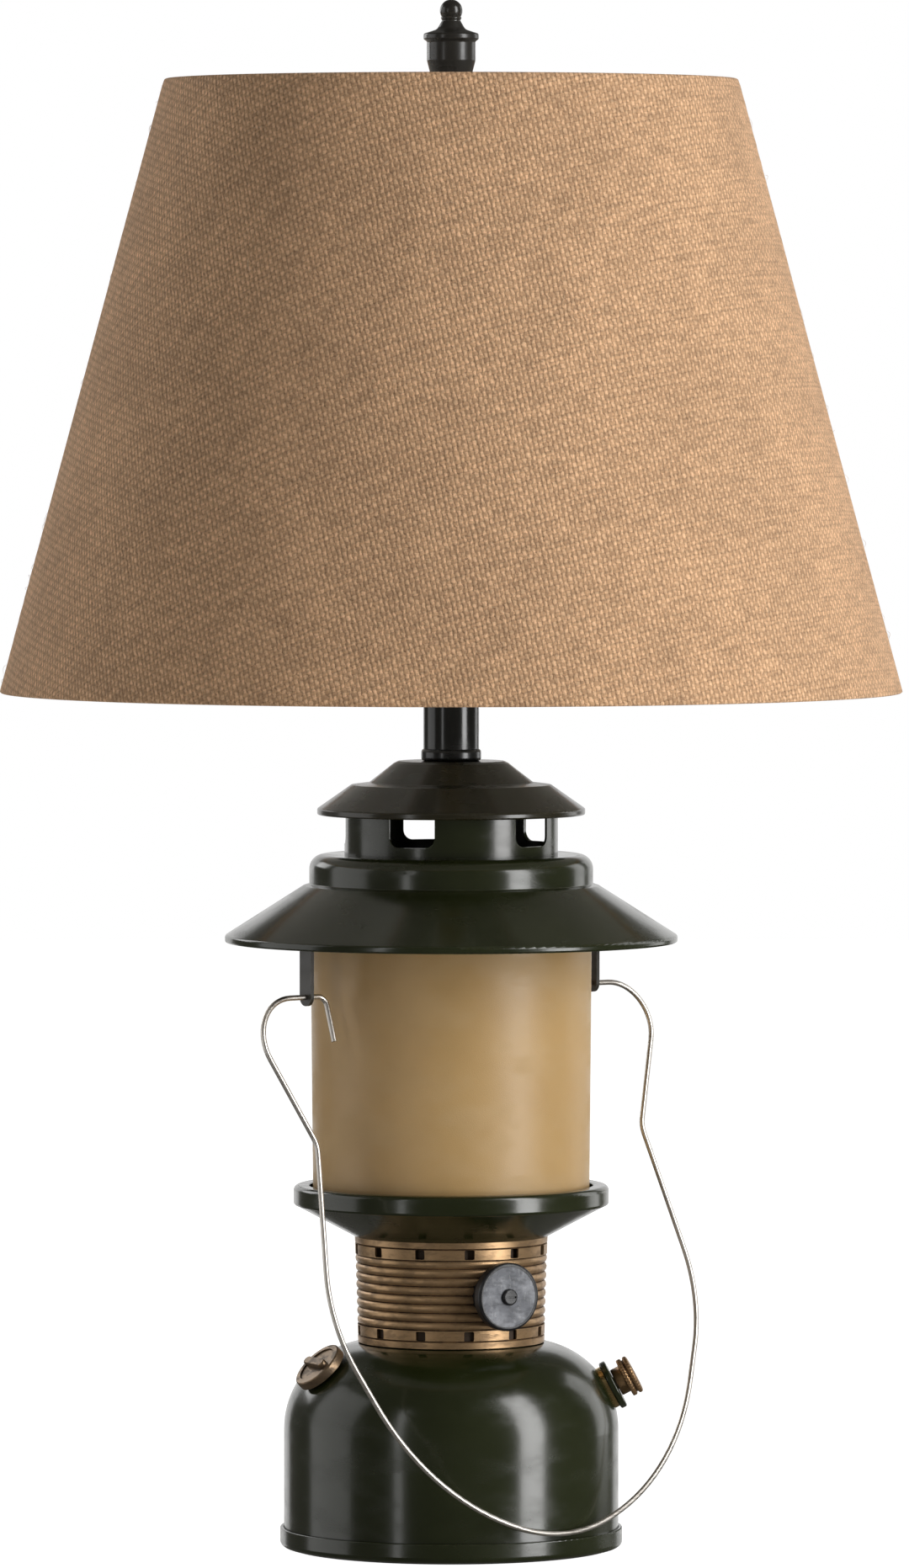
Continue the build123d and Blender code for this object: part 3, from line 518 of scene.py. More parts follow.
@dataclass(frozen=True)
class Moulded:
    """A moulded or pressed material that isn't metal: plastic, rubber, phenolic, fibre or iron casting."""

    name: str
    colour: Colour
    worn: Colour
    roughness: float = 0.40
    pebble: float = 0.00003
    pebble_scale: float = 1400.0
    scuffs: float = 0.35

    def material(self) -> bpy.types.Material:
        """Build the finish's material."""
        material, graph, shader = start_material(self.name)
        mottle = graph.effect(Effect.MOTTLE, Patches=45.0, Specks=self.pebble_scale)
        edge = graph.effect(Effect.EDGE_WEAR, Width=0.0008, Reach=self.scuffs)
        dirt_and_shade = graph.effect(Effect.DIRT_AND_SHADE, Distance=0.003, Strength=0.5)
        smudge = graph.math("MULTIPLY", mottle.outputs["Smudge"], self.scuffs)
        tone = graph.mix(smudge, self.colour, self.worn)
        tone = graph.mix(edge.outputs["Mask"], tone, self.worn)
        # Corners and recesses darken toward a darker copy of the colour: dirt, and painted shade where light
        # is blocked.
        dark = tuple(0.5 * part for part in self.colour)
        graph.feed(shader.inputs["Base Color"], graph.mix(dirt_and_shade.outputs["Mask"], tone, dark))
        graph.feed(shader.inputs["Roughness"], graph.spread(
            mottle.outputs["Patch"], 0.0, 1.0, self.roughness - 0.05, self.roughness + 0.08))
        graph.feed(shader.inputs["Normal"], graph.bump(mottle.outputs["Speck"], self.pebble, 0.6))
        return material


@dataclass(frozen=True)
class ScuffedPlate:
    """A dull metal plate with crossing scratches."""

    name: str
    colour: Colour
    scratch: Colour
    roughness: float = 0.42

    def material(self) -> bpy.types.Material:
        """Build the finish's material."""
        material, graph, shader = start_material(self.name)
        mottle = graph.effect(Effect.MOTTLE, Patches=120.0, Specks=2500.0)
        one_way = graph.effect(Effect.DRAWN_GRAIN, Along=(1.0, 0.2, 0.10), Fineness=900.0)
        other_way = graph.effect(Effect.DRAWN_GRAIN, Along=(0.12, 1.0, 0.9), Fineness=700.0)
        lines = graph.math("MULTIPLY", one_way.outputs["Line"], other_way.outputs["Line"])
        marks = graph.spread(lines, 0.50, 0.95, 0.0, 0.5)
        tone = graph.mix(mottle.outputs["Smudge"], self.colour, tuple(0.62 * part for part in self.colour))
        graph.feed(shader.inputs["Base Color"], graph.mix(marks, tone, self.scratch))
        shader.inputs["Metallic"].default_value = 0.15
        graph.feed(shader.inputs["Roughness"], graph.spread(
            mottle.outputs["Patch"], 0.0, 1.0, self.roughness - 0.08, self.roughness + 0.12))
        graph.feed(shader.inputs["Normal"], graph.bump(lines, 0.00004, 0.5))
        return material


@dataclass(frozen=True)
class FrostedGlass:
    """Amber glass, frosted all over, with clouds and wiped smears in the frosting."""

    name: str
    colour: Colour
    clouded: Colour
    roughness: float = 0.42
    passed: float = 0.42

    def material(self) -> bpy.types.Material:
        """Build the finish's material."""
        material, graph, shader = start_material(self.name)
        mottle = graph.effect(Effect.MOTTLE, Patches=13.0, Specks=3000.0)
        dirt_and_shade = graph.effect(Effect.DIRT_AND_SHADE, Distance=0.010, Strength=0.8)
        cloud = graph.mix(graph.math("MULTIPLY", mottle.outputs["Patch"], 0.7), self.colour, self.clouded)
        smear = graph.mix(graph.math("MULTIPLY", mottle.outputs["Smudge"], 0.15), cloud, (0.86, 0.66, 0.38))
        # The glass darkens toward a dark amber where the gallery and hood close over it: painted shade, with
        # some dirt.
        dark = tuple(0.7 * part for part in self.clouded)
        graph.feed(shader.inputs["Base Color"], graph.mix(dirt_and_shade.outputs["Mask"], smear, dark))
        graph.feed(shader.inputs["Roughness"], graph.spread(
            mottle.outputs["Smudge"], 0.0, 1.0, self.roughness - 0.06, self.roughness + 0.12))
        shader.inputs["Transmission Weight"].default_value = self.passed
        shader.inputs["IOR"].default_value = 1.5
        graph.feed(shader.inputs["Normal"], graph.bump(mottle.outputs["Speck"], 0.00004, 0.5))
        return material


@dataclass(frozen=True)
class Burlap:
    """Tan jute in an open plain weave, seen by its cloth map, whose units are metres."""

    name: str
    # top is a painted highlight colour for raised thread crowns; gap is a painted shadow colour for the low
    # places between threads.
    top: Colour
    body: Colour
    gap: Colour
    warp_pitch: float = 0.0022
    weft_pitch: float = 0.0020
    relief: float = 0.0006

    def material(self) -> bpy.types.Material:
        """Build the finish's material."""
        material, graph, shader = start_material(self.name)
        cloth = graph.node("UVMap", uv_map="cloth").outputs["UV"]
        weave = graph.effect(
            Effect.PLAIN_WEAVE, Cloth=cloth, Warp_Pitch=self.warp_pitch, Weft_Pitch=self.weft_pitch)
        mottle = graph.effect(Effect.MOTTLE, Patches=22.0, Specks=2600.0)
        height = weave.outputs["Height"]
        # Warp crowns that stand high take the top colour: a painted highlight on the thread crowns.
        lit = graph.math("MULTIPLY", weave.outputs["Warp"], graph.spread(height, 0.45, 0.95))
        thread = graph.mix(lit, self.body, self.top)
        # Low places between the threads go toward the gap colour: painted shadow in the weave.
        gap_shadow = graph.math("MULTIPLY", graph.spread(height, 0.52, 0.20), 0.75)
        tone = graph.mix(gap_shadow, thread, self.gap)
        yarn = graph.spread(weave.outputs["Yarn"], 0.0, 1.0, 0.78, 1.20)
        patch = graph.spread(mottle.outputs["Patch"], 0.0, 1.0, 0.95, 1.05)
        level = graph.node("CombineXYZ")
        for axis in level.inputs:
            graph.feed(axis, graph.math("MULTIPLY", yarn, patch))
        graph.feed(shader.inputs["Base Color"], graph.mix(1.0, tone, level.outputs[0], "MULTIPLY"))
        graph.feed(shader.inputs["Roughness"], graph.spread(height, 0.0, 1.0, 0.95, 0.80))
        shader.inputs["Specular IOR Level"].default_value = 0.2
        shader.inputs["Sheen Weight"].default_value = 0.12
        shader.inputs["Sheen Roughness"].default_value = 0.5
        fuzz = graph.math("MULTIPLY", mottle.outputs["Speck"], 0.18)
        graph.feed(shader.inputs["Normal"], graph.bump(graph.math("ADD", height, fuzz), self.relief, 0.8))
        return material


@dataclass(frozen=True)
class Fibrous:
    """Felt, leather or loose fibre: short hairs or creases, no gloss."""

    name: str
    colour: Colour
    light: Colour
    scale: float = 1100.0
    relief: float = 0.0002
    roughness: float = 0.9
    along: Colour = (1.0, 0.3, 0.6)

    def material(self) -> bpy.types.Material:
        """Build the finish's material."""
        material, graph, shader = start_material(self.name)
        mottle = graph.effect(Effect.MOTTLE, Patches=60.0, Specks=self.scale)
        hair = graph.effect(Effect.DRAWN_GRAIN, Along=self.along, Fineness=self.scale)
        share = graph.math("MULTIPLY", hair.outputs["Line"], mottle.outputs["Speck"])
        graph.feed(shader.inputs["Base Color"], graph.mix(share, self.colour, self.light))
        graph.feed(shader.inputs["Roughness"], graph.spread(
            mottle.outputs["Patch"], 0.0, 1.0, self.roughness, self.roughness - 0.12))
        shader.inputs["Sheen Weight"].default_value = 0.2
        graph.feed(shader.inputs["Normal"], graph.bump(share, self.relief, 0.7))
        return material


Finish = (
    Enamel | AntiqueBronze | BareMetal | Moulded | ScuffedPlate | FrostedGlass | Burlap | Fibrous
)

OLIVE_PAINT = Enamel("olive_paint", (0.0115, 0.0148, 0.0030), (0.018, 0.022, 0.007), (0.060, 0.062, 0.038))
CAP_PAINT = Enamel("cap_paint", (0.016, 0.0135, 0.0050), (0.024, 0.020, 0.009), (0.07, 0.055, 0.03), 0.26)
NECK_BLACK = Enamel("neck_black", (0.0045, 0.0050, 0.0035), (0.008, 0.008, 0.007), (0.04, 0.038, 0.034), 0.22)
WHITE_WIRE = Enamel("white_wire", (0.80, 0.79, 0.75), (0.70, 0.68, 0.63), (0.55, 0.53, 0.48), 0.35, 0.1, 0.2)
FINIAL_DARK = Enamel("finial_dark", (0.018, 0.016, 0.013), (0.030, 0.027, 0.022), (0.12, 0.10, 0.075), 0.30)
BLACK_STEEL = Enamel("black_steel", (0.020, 0.018, 0.013), (0.035, 0.030, 0.022), (0.14, 0.12, 0.10), 0.38)
COLLAR_BRONZE = AntiqueBronze("antique_bronze", (0.46, 0.295, 0.155), (0.040, 0.022, 0.010), turned=True)
PUMP_BRONZE = AntiqueBronze("pump_bronze", (0.44, 0.27, 0.135), (0.050, 0.024, 0.009), 0.85, 0.28)
CAP_BRONZE = AntiqueBronze("cap_bronze", (0.26, 0.18, 0.11), (0.045, 0.028, 0.014), 0.80, 0.30)
BRIGHT_WIRE = BareMetal("bright_wire", (0.82, 0.78, 0.72), (0.56, 0.51, 0.45), 0.36)
NICKEL = BareMetal("nickel", (0.60, 0.58, 0.54), (0.36, 0.34, 0.30), 0.22)
BRASS = BareMetal("brass", (0.74, 0.55, 0.26), (0.40, 0.27, 0.11), 0.26)
ZINC = BareMetal("zinc_steel", (0.55, 0.55, 0.54), (0.33, 0.32, 0.30), 0.32, thread_pitch=0.00094)
BULB_CAP = BareMetal("bulb_cap", (0.78, 0.78, 0.77), (0.55, 0.54, 0.52), 0.22)
BLACK_PLASTIC = Moulded("black_plastic", (0.008, 0.008, 0.009), (0.04, 0.04, 0.04), 0.38)
RUBBER = Moulded("black_rubber", (0.014, 0.014, 0.014), (0.05, 0.05, 0.048), 0.62, 0.00006, 900.0)
PHENOLIC = Moulded("phenolic", (0.022, 0.017, 0.014), (0.06, 0.05, 0.04), 0.38)
FIBRE = Moulded("fibre", (0.50, 0.37, 0.23), (0.36, 0.25, 0.15), 0.75, 0.00008, 800.0)
CASTING = Moulded("cast_weight", (0.070, 0.068, 0.066), (0.16, 0.13, 0.11), 0.68, 0.0004, 420.0, 0.6)
LINING = Moulded("lining_white", (0.84, 0.82, 0.78), (0.74, 0.70, 0.62), 0.50, 0.00004, 700.0, 0.3)
BULB_WHITE = Moulded("bulb_white", (0.86, 0.86, 0.84), (0.80, 0.79, 0.75), 0.32, 0.00002, 2400.0, 0.2)
KNOB_PLATE = ScuffedPlate("grey_face", (0.125, 0.130, 0.145), (0.22, 0.22, 0.23))
AMBER_GLASS = FrostedGlass("frosted_glass", (0.80, 0.530, 0.225), (0.70, 0.445, 0.175))
# Burlap colours: painted highlight on thread crowns, the yarn's body, and painted shadow in the gaps.
BURLAP = Burlap("burlap", (0.80, 0.508, 0.298), (0.585, 0.352, 0.196), (0.24, 0.130, 0.065))
LOOSE_JUTE = Fibrous("loose_jute", (0.55, 0.38, 0.24), (0.85, 0.66, 0.46), 500.0, 0.00003)
FELT = Fibrous("black_felt", (0.012, 0.013, 0.012), (0.040, 0.042, 0.040), along=(1.0, 1.0, 1.0))
LEATHER = Fibrous("leather", (0.14, 0.070, 0.035), (0.26, 0.15, 0.08), 700.0, 0.00012, 0.55)


class Wardrobe:
    """Keeps one material for each finish and puts it on nodes and new pieces."""

    def __init__(self) -> None:
        """Start with no material made."""
        self.made: dict[str, bpy.types.Material] = {}

    def material(self, finish: Finish) -> bpy.types.Material:
        """Give a finish's material.

        Args:
            finish: the finish.

        Returns:
            Its material, built once.
        """
        if finish.name not in self.made:
            self.made[finish.name] = finish.material()
        return self.made[finish.name]

    def dress(self, finish: Finish, *nodes: str) -> None:
        """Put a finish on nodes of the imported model.

        Args:
            finish: the finish.
            *nodes: the nodes' names.
        """
        for node in nodes:
            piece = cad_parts[node]
            self.cover(finish, piece)
            log.info("%s wears %s", node, finish.name)

    def cover(self, finish: Finish, piece: bpy.types.Object) -> None:
        """Put a finish on an object.

        Args:
            finish: the finish.
            piece: the mesh object.
        """
        piece.data.materials.clear()
        piece.data.materials.append(self.material(finish))


WARDROBE = Wardrobe()


# --- Mesh work ------------------------------------------------------------------------------------


def mesh_object(name: str, points: list[Vector], faces: list[tuple[int, ...]]) -> bpy.types.Object:
    """Make a smooth mesh object in the scene.

    Args:
        name: the piece's name.
        points: its vertices.
        faces: the vertices of each face, by number.

    Returns:
        The new object.
    """
    mesh = bpy.data.meshes.new(name)
    mesh.from_pydata(points, [], faces)
    mesh.polygons.foreach_set("use_smooth", [True] * len(mesh.polygons))
    mesh.update()
    piece = bpy.data.objects.new(name, mesh)
    bpy.context.scene.collection.objects.link(piece)
    return piece


def grid_faces(rows: int, columns: int, closed: bool = True) -> list[tuple[int, int, int, int]]:
    """List the faces of a grid whose points go row by row.

    Args:
        rows: how many rows of points.
        columns: how many points in a row.
        closed: whether the last column joins the first.

    Returns:
        The faces, wound so that they face outward where rows rise and columns run counter-clockwise.
    """
    faces = []
    for row in range(rows - 1):
        for column in range(columns if closed else columns - 1):
            following = (column + 1) % columns
            base, above = row * columns, (row + 1) * columns
            faces.append((base + column, base + following, above + following, above + column))
    return faces


def turned_piece(name: str, outline: list[tuple[float, float]], around: int, place: Matrix,
                 cut: Callable[[float, float, float], float]) -> bpy.types.Object:
    """Turn an outline round an axis, with a cut that may change the radius round the turn.

    Args:
        name: the piece's name.
        outline: radius and height of each point, from the lower centre to the upper centre.
        around: points round the turn.
        place: where the turn's own frame stands in the lamp's frame.
        cut: gives the change of radius from radius, height and turn in radians.

    Returns:
        The closed piece.
    """
    points = []
    for radius, height in outline:
        for step in range(around):
            turn = 2 * math.pi * step / around
            cut_radius = radius + cut(radius, height, turn)
            points.append(place @ Vector((cut_radius * math.cos(turn), cut_radius * math.sin(turn), height)))
    faces = grid_faces(len(outline), around)
    faces.append(tuple(reversed(range(around))))
    faces.append(tuple((len(outline) - 1) * around + step for step in range(around)))
    return mesh_object(name, points, faces)


def spaced(start: tuple[float, float], end: tuple[float, float], count: int) -> list[tuple[float, float]]:
    """List evenly spaced points from start to just before end.

    Args:
        start: the first point.
        end: the point where the next stretch starts.
        count: how many points.

    Returns:
        The points.
    """
    return [
        tuple(a + (b - a) * step / count for a, b in zip(start, end))
        for step in range(count)
    ]


# --- Sub-assemblies -------------------------------------------------------------------------------


@dataclass
class Softbox:
    """A studio light: a lit panel that faces the lamp."""

    name: str
    azimuth: float
    height: float
    distance: float
    width: float
    tall: float
    radiance: float
    aim_height: float = 0.32

    def build(self) -> None:
        """Hang the panel and turn it to the lamp."""
        light = bpy.data.lights.new(self.name, "AREA")
        light.shape = "RECTANGLE"
        light.size, light.size_y = self.width, self.tall
        light.energy = self.radiance * math.pi * self.width * self.tall
        panel = bpy.data.objects.new(self.name, light)
        panel.location = heading(self.azimuth) * self.distance + Vector((0, 0, self.height))
        aim = Vector((0, 0, self.aim_height)) - panel.location
        panel.rotation_euler = aim.to_track_quat("-Z", "Y").to_euler()
        panel.visible_camera = False
        bpy.context.scene.collection.objects.link(panel)
        log.info("%s stands at azimuth %.0f", self.name, self.azimuth)


@dataclass
class Studio:
    """The pale floor, the white surround, the lights and the camera."""

    floor_radius: float = 5.0
    floor_drop: float = 0.3 * MM
    surround: float = 0.10
    camera_place: Colour = (0.0015, -4.88, 0.545)
    camera_dip: float = 2.335
    lens: float = 248.0
    lights: list[Softbox] = field(default_factory=lambda: [
        Softbox("key_softbox", 57.0, 0.80, 2.0, 0.70, 2.5, 8.2),
        Softbox("strip_left", -36.0, 0.55, 2.2, 0.22, 2.0, 2.4),
        Softbox("fill_left", -92.0, 0.60, 2.0, 1.5, 2.2, 0.95),
        Softbox("rim_left", -135.0, 1.10, 2.0, 0.8, 1.0, 2.4),
        Softbox("backdrop", 180.0, 0.30, 2.4, 3.0, 1.8, 0.85),
        Softbox("rim_right", 128.0, 0.70, 2.2, 0.7, 1.8, 1.6),
    ])

    def build(self) -> None:
        """Set up the whole studio."""
        self.build_camera()
        self.build_surround()
        self.build_floor()
        for light in self.lights:
            light.build()
        bpy.context.scene.view_settings.view_transform = "Standard"

    def build_camera(self) -> None:
        """Stand the camera at the front, a little above the lamp's middle."""
        camera = bpy.data.objects.new("camera", bpy.data.cameras.new("camera"))
        camera.data.lens = self.lens
        camera.location = self.camera_place
        camera.rotation_euler = (math.radians(90.0 - self.camera_dip), 0.0, 0.0)
        bpy.context.scene.collection.objects.link(camera)
        bpy.context.scene.camera = camera

    def build_surround(self) -> None:
        """Light the world dimly, and show it white behind the lamp."""
        world = bpy.data.worlds.new("surround")
        world.use_nodes = True
        graph = Graph(world.node_tree)
        seen = graph.node("LightPath").outputs["Is Camera Ray"]
        background = world.node_tree.nodes["Background"]
        strength = graph.spread(seen, 0.0, 1.0, self.surround, 1.0, smooth=False)
        graph.feed(background.inputs["Strength"], strength)
        graph.feed(background.inputs["Color"], graph.mix(seen, (1.0, 0.96, 0.89), (1.0, 1.0, 1.0)))
        bpy.context.scene.world = world

    def build_floor(self) -> None:
        """Lay a round pale floor, white to the camera from above and clear from below."""
        rings = [0.3, 1.0, 2.0, self.floor_radius]
        points = [Vector((0, 0, -self.floor_drop))]
        around = 96
        for ring in rings:
            for step in range(around):
                turn = 2 * math.pi * step / around
                points.append(Vector((ring * math.cos(turn), ring * math.sin(turn), -self.floor_drop)))
        faces = [(0, 1 + step, 1 + (step + 1) % around) for step in range(around)]
        faces += [
            tuple(1 + number for number in reversed(face)) for face in grid_faces(len(rings), around)
        ]
        floor = mesh_object("floor", points, faces)
        material, graph, shader = start_material("pale_floor")
        grain = graph.noise(graph.place(), 60.0, 3.0)
        graph.feed(shader.inputs["Base Color"], graph.mix(grain, (0.34, 0.34, 0.34), (0.37, 0.37, 0.36)))
        graph.feed(shader.inputs["Roughness"], graph.spread(grain, 0.3, 0.7, 0.85, 0.95))
        shader.inputs["Specular IOR Level"].default_value = 0.1
        seen = graph.node("LightPath").outputs["Is Camera Ray"]
        graph.feed(shader.inputs["Emission Color"], graph.mix(seen, (0.20, 0.20, 0.20), (1.0, 1.0, 1.0)))
        shader.inputs["Emission Strength"].default_value = 1.0
        behind = graph.node("NewGeometry").outputs["Backfacing"]
        graph.feed(shader.inputs["Alpha"], graph.math("SUBTRACT", 1.0, behind))
        floor.data.materials.append(material)
        floor.visible_glossy = False
        floor.visible_shadow = False


@dataclass
class Base:
    """Felt, base pan, ballast and the tank with the cord's bushing."""

    def build(self) -> None:
        """Dress the base's nodes."""
        WARDROBE.dress(FELT, "felt_pad")
        WARDROBE.dress(OLIVE_PAINT, "base_pan", "tank_shell")
        WARDROBE.dress(CASTING, "ballast")
        WARDROBE.dress(ZINC, "ballast_screws")
        WARDROBE.dress(RUBBER, "cord_bushing")


@dataclass
class FillerAndPump:
    """The filler with its cap, and the pump with a fluted knob in place of the plain one."""

    shoulder_radius: float = 39.6 * MM
    shoulder_height: float = 53.9 * MM
    elevation: float = 28.0
    rod_radius: float = 3.0 * MM
    knob_radius: float = 9.0 * MM
    hub_radius: float = 6.4 * MM
    hub_bottom: float = 4.2 * MM
    rim_bottom: float = 8.4 * MM
    knob_softening: float = 0.35 * MM
    flutes: int = 34
    points_per_flute: int = 8
    flute_depth: float = 0.32 * MM

    def build(self) -> None:
        """Dress the fittings and make the fluted knob."""
        WARDROBE.dress(BRASS, "pump_barrel")
        WARDROBE.dress(OLIVE_PAINT, "filler_spout", "pump_cap")
        WARDROBE.dress(CAP_BRONZE, "filler_cap")
        WARDROBE.dress(BRIGHT_WIRE, "pump_rod")
        WARDROBE.dress(LEATHER, "pump_piston")
        self.build_knob()

    def pump_frame(self) -> Matrix:
        """Give the frame that stands on the shoulder along the pump's rod."""
        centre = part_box("tank_shell")[1].x - self.shoulder_radius
        reach = centre + self.shoulder_radius * math.cos(math.radians(self.elevation))
        height = self.shoulder_height + self.shoulder_radius * math.sin(math.radians(self.elevation))
        outward = heading(90.0, self.elevation)
        turn = outward.to_track_quat("Z", "Y").to_matrix().to_4x4()
        return Matrix.Translation((reach, 0.0, height)) @ turn

    def flute(self, radius: float, height: float, turn: float) -> float:
        """Give the flutes' cut, which is only on the two raised rims.

        Args:
            radius: the outline's radius.
            height: the outline's height, unused by the flutes.
            turn: the angle round the knob, in radians.

        Returns:
            The change of radius.
        """
        if radius < self.knob_radius - 0.3 * MM:
            return 0.0
        return -self.flute_depth * (0.5 + 0.5 * math.cos(self.flutes * turn)) ** 2

    def build_knob(self) -> None:
        """Turn the knob: a hub, a lower rim, a groove and an upper rim with a dished face."""
        rim, hub, foot = self.knob_radius, self.hub_radius, self.rim_bottom
        soft = self.knob_softening
        waist = rim - 1.1 * MM
        outline = [
            (self.rod_radius + 0.1 * MM, self.hub_bottom), (hub - soft, self.hub_bottom),
            (hub, self.hub_bottom + soft), (hub, foot - soft), (hub + soft, foot), (rim - soft, foot),
            (rim, foot + soft), (rim, foot + 1.7 * MM), (rim - soft, foot + 2.1 * MM),
            (waist, foot + 2.4 * MM), (waist, foot + 2.8 * MM), (rim - soft, foot + 3.1 * MM),
            (rim, foot + 3.5 * MM), (rim, foot + 4.4 * MM), (rim - 0.4 * MM, foot + 4.9 * MM),
            (rim - 1.2 * MM, foot + 5.2 * MM),
            (rim - 2.2 * MM, foot + 5.1 * MM), (rim - 3.0 * MM, foot + 4.8 * MM), (2.0 * MM, foot + 4.7 * MM),
            (0.2 * MM, foot + 4.7 * MM),
        ]
        around = self.flutes * self.points_per_flute
        knob = turned_piece("fluted_pump_knob", outline, around, self.pump_frame(), self.flute)
        WARDROBE.cover(PUMP_BRONZE, knob)
        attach(knob, "pump_plunger")
        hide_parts("pump_knob")
        log.info("fluted_pump_knob has %d flutes", self.flutes)


@dataclass
class Collar:
    """The ribbed collar with the switch behind its round knob."""

    def build(self) -> None:
        """Dress the collar's nodes."""
        WARDROBE.dress(COLLAR_BRONZE, "collar")
        WARDROBE.dress(BLACK_PLASTIC, "valve_escutcheon", "valve_knob", "knob_screw")
        WARDROBE.dress(KNOB_PLATE, "knob_face")
        WARDROBE.dress(ZINC, "valve_stem")
        WARDROBE.dress(PHENOLIC, "rotary_switch")


@dataclass
class Lantern:
    """Gallery, globe, hood, chimney and cap, with the bail and its ears."""

    def build(self) -> None:
        """Dress the lantern's nodes."""
        WARDROBE.dress(OLIVE_PAINT, "gallery", "hood", "chimney")
        WARDROBE.dress(CAP_PAINT, "top_cap")
        WARDROBE.dress(AMBER_GLASS, "globe")
        WARDROBE.dress(BLACK_STEEL, "bail_ears")
        WARDROBE.dress(BRIGHT_WIRE, "bail")


@dataclass
class Neck:
    """The lamp pipe with its nut, and the black neck."""

    def build(self) -> None:
        """Dress the neck's nodes."""
        WARDROBE.dress(ZINC, "lamp_pipe", "pipe_washer", "pipe_nut")
        WARDROBE.dress(NECK_BLACK, "neck_ring", "neck_tube", "neck_seat")


@dataclass
class HarpAndSocket:
    """The harp, the socket and the bulb, whose screw base gets its thread."""

    thread_pitch: float = 3.6 * MM
    thread_depth: float = 0.45 * MM
    around: int = 96

    def build(self) -> None:
        """Dress the nodes and make the threaded base."""
        WARDROBE.dress(NICKEL, "harp_saddle", "harp", "harp_stud")
        WARDROBE.dress(BRASS, "left_ferrule", "right_ferrule", "socket_cap", "socket_shell", "screw_shell")
        WARDROBE.dress(FIBRE, "socket_liner")
        WARDROBE.dress(PHENOLIC, "socket_body")
        WARDROBE.dress(BULB_WHITE, "bulb_glass")
        self.build_bulb_base()

    def build_bulb_base(self) -> None:
        """Turn the bulb's base: contact, black-glass cone and a rolled thread."""
        low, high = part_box("bulb_base")
        radius, foot, top = high.x, low.z, high.z
        thread_start, thread_end = foot + 7.5 * MM, top - 4.0 * MM

        def roll(at_radius: float, height: float, turn: float) -> float:
            """Give the thread's roll, which fades out at both ends.

            Args:
                at_radius: the outline's radius, unused by the thread.
                height: the outline's height.
                turn: the angle round the base, in radians.

            Returns:
                The change of radius.
            """
            inside = min(height - thread_start, thread_end - height) / (2.0 * MM)
            fade = min(1.0, max(0.0, inside))
            wave = math.cos(2 * math.pi * (height - foot) / self.thread_pitch - turn)
            return self.thread_depth * fade * (0.5 * wave - 0.5)

        outline = [
            (0.2 * MM, foot), (4.0 * MM, foot), (4.5 * MM, foot + 0.5 * MM), (4.5 * MM, foot + 2.0 * MM),
            (9.0 * MM, foot + 3.5 * MM), (12.4 * MM, foot + 6.2 * MM), (radius, foot + 7.2 * MM),
        ]
        outline += spaced((radius, foot + 7.5 * MM), (radius, top), 70)
        outline += [(radius, top), (radius - 0.6 * MM, top), (0.2 * MM, top)]
        base = turned_piece("threaded_bulb_base", outline, self.around, Matrix.Identity(4), roll)
        WARDROBE.cover(BULB_CAP, base)
        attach(base, "lamp")
        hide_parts("bulb_base")
        log.info("threaded_bulb_base has a pitch of %.1f mm", self.thread_pitch / MM)


@dataclass(frozen=True)
class Slub:
    """A thick place in one thread, which stands proud for a short way up the cloth."""

    azimuth: float
    middle: float
    width: float
    strength: float
    lean: float = 0.28
    reach: float = 0.16

    def rise(self, turn: float, share: float) -> float:
        """Give how much the thread stands proud at a point.

        Args:
            turn: the point's angle round the shade, in radians.
            share: its height, as a share of the shade's.

        Returns:
            The rise, up to the slub's strength.
        """
        along = share - self.middle
        gap = turn - self.azimuth - self.lean * along
        if abs(gap) >= 3 * self.width or abs(along) >= self.reach:
            return 0.0
        fade = math.cos(math.pi * along / (2 * self.reach))
        return self.strength * fade * math.exp(-(gap / self.width) ** 2)


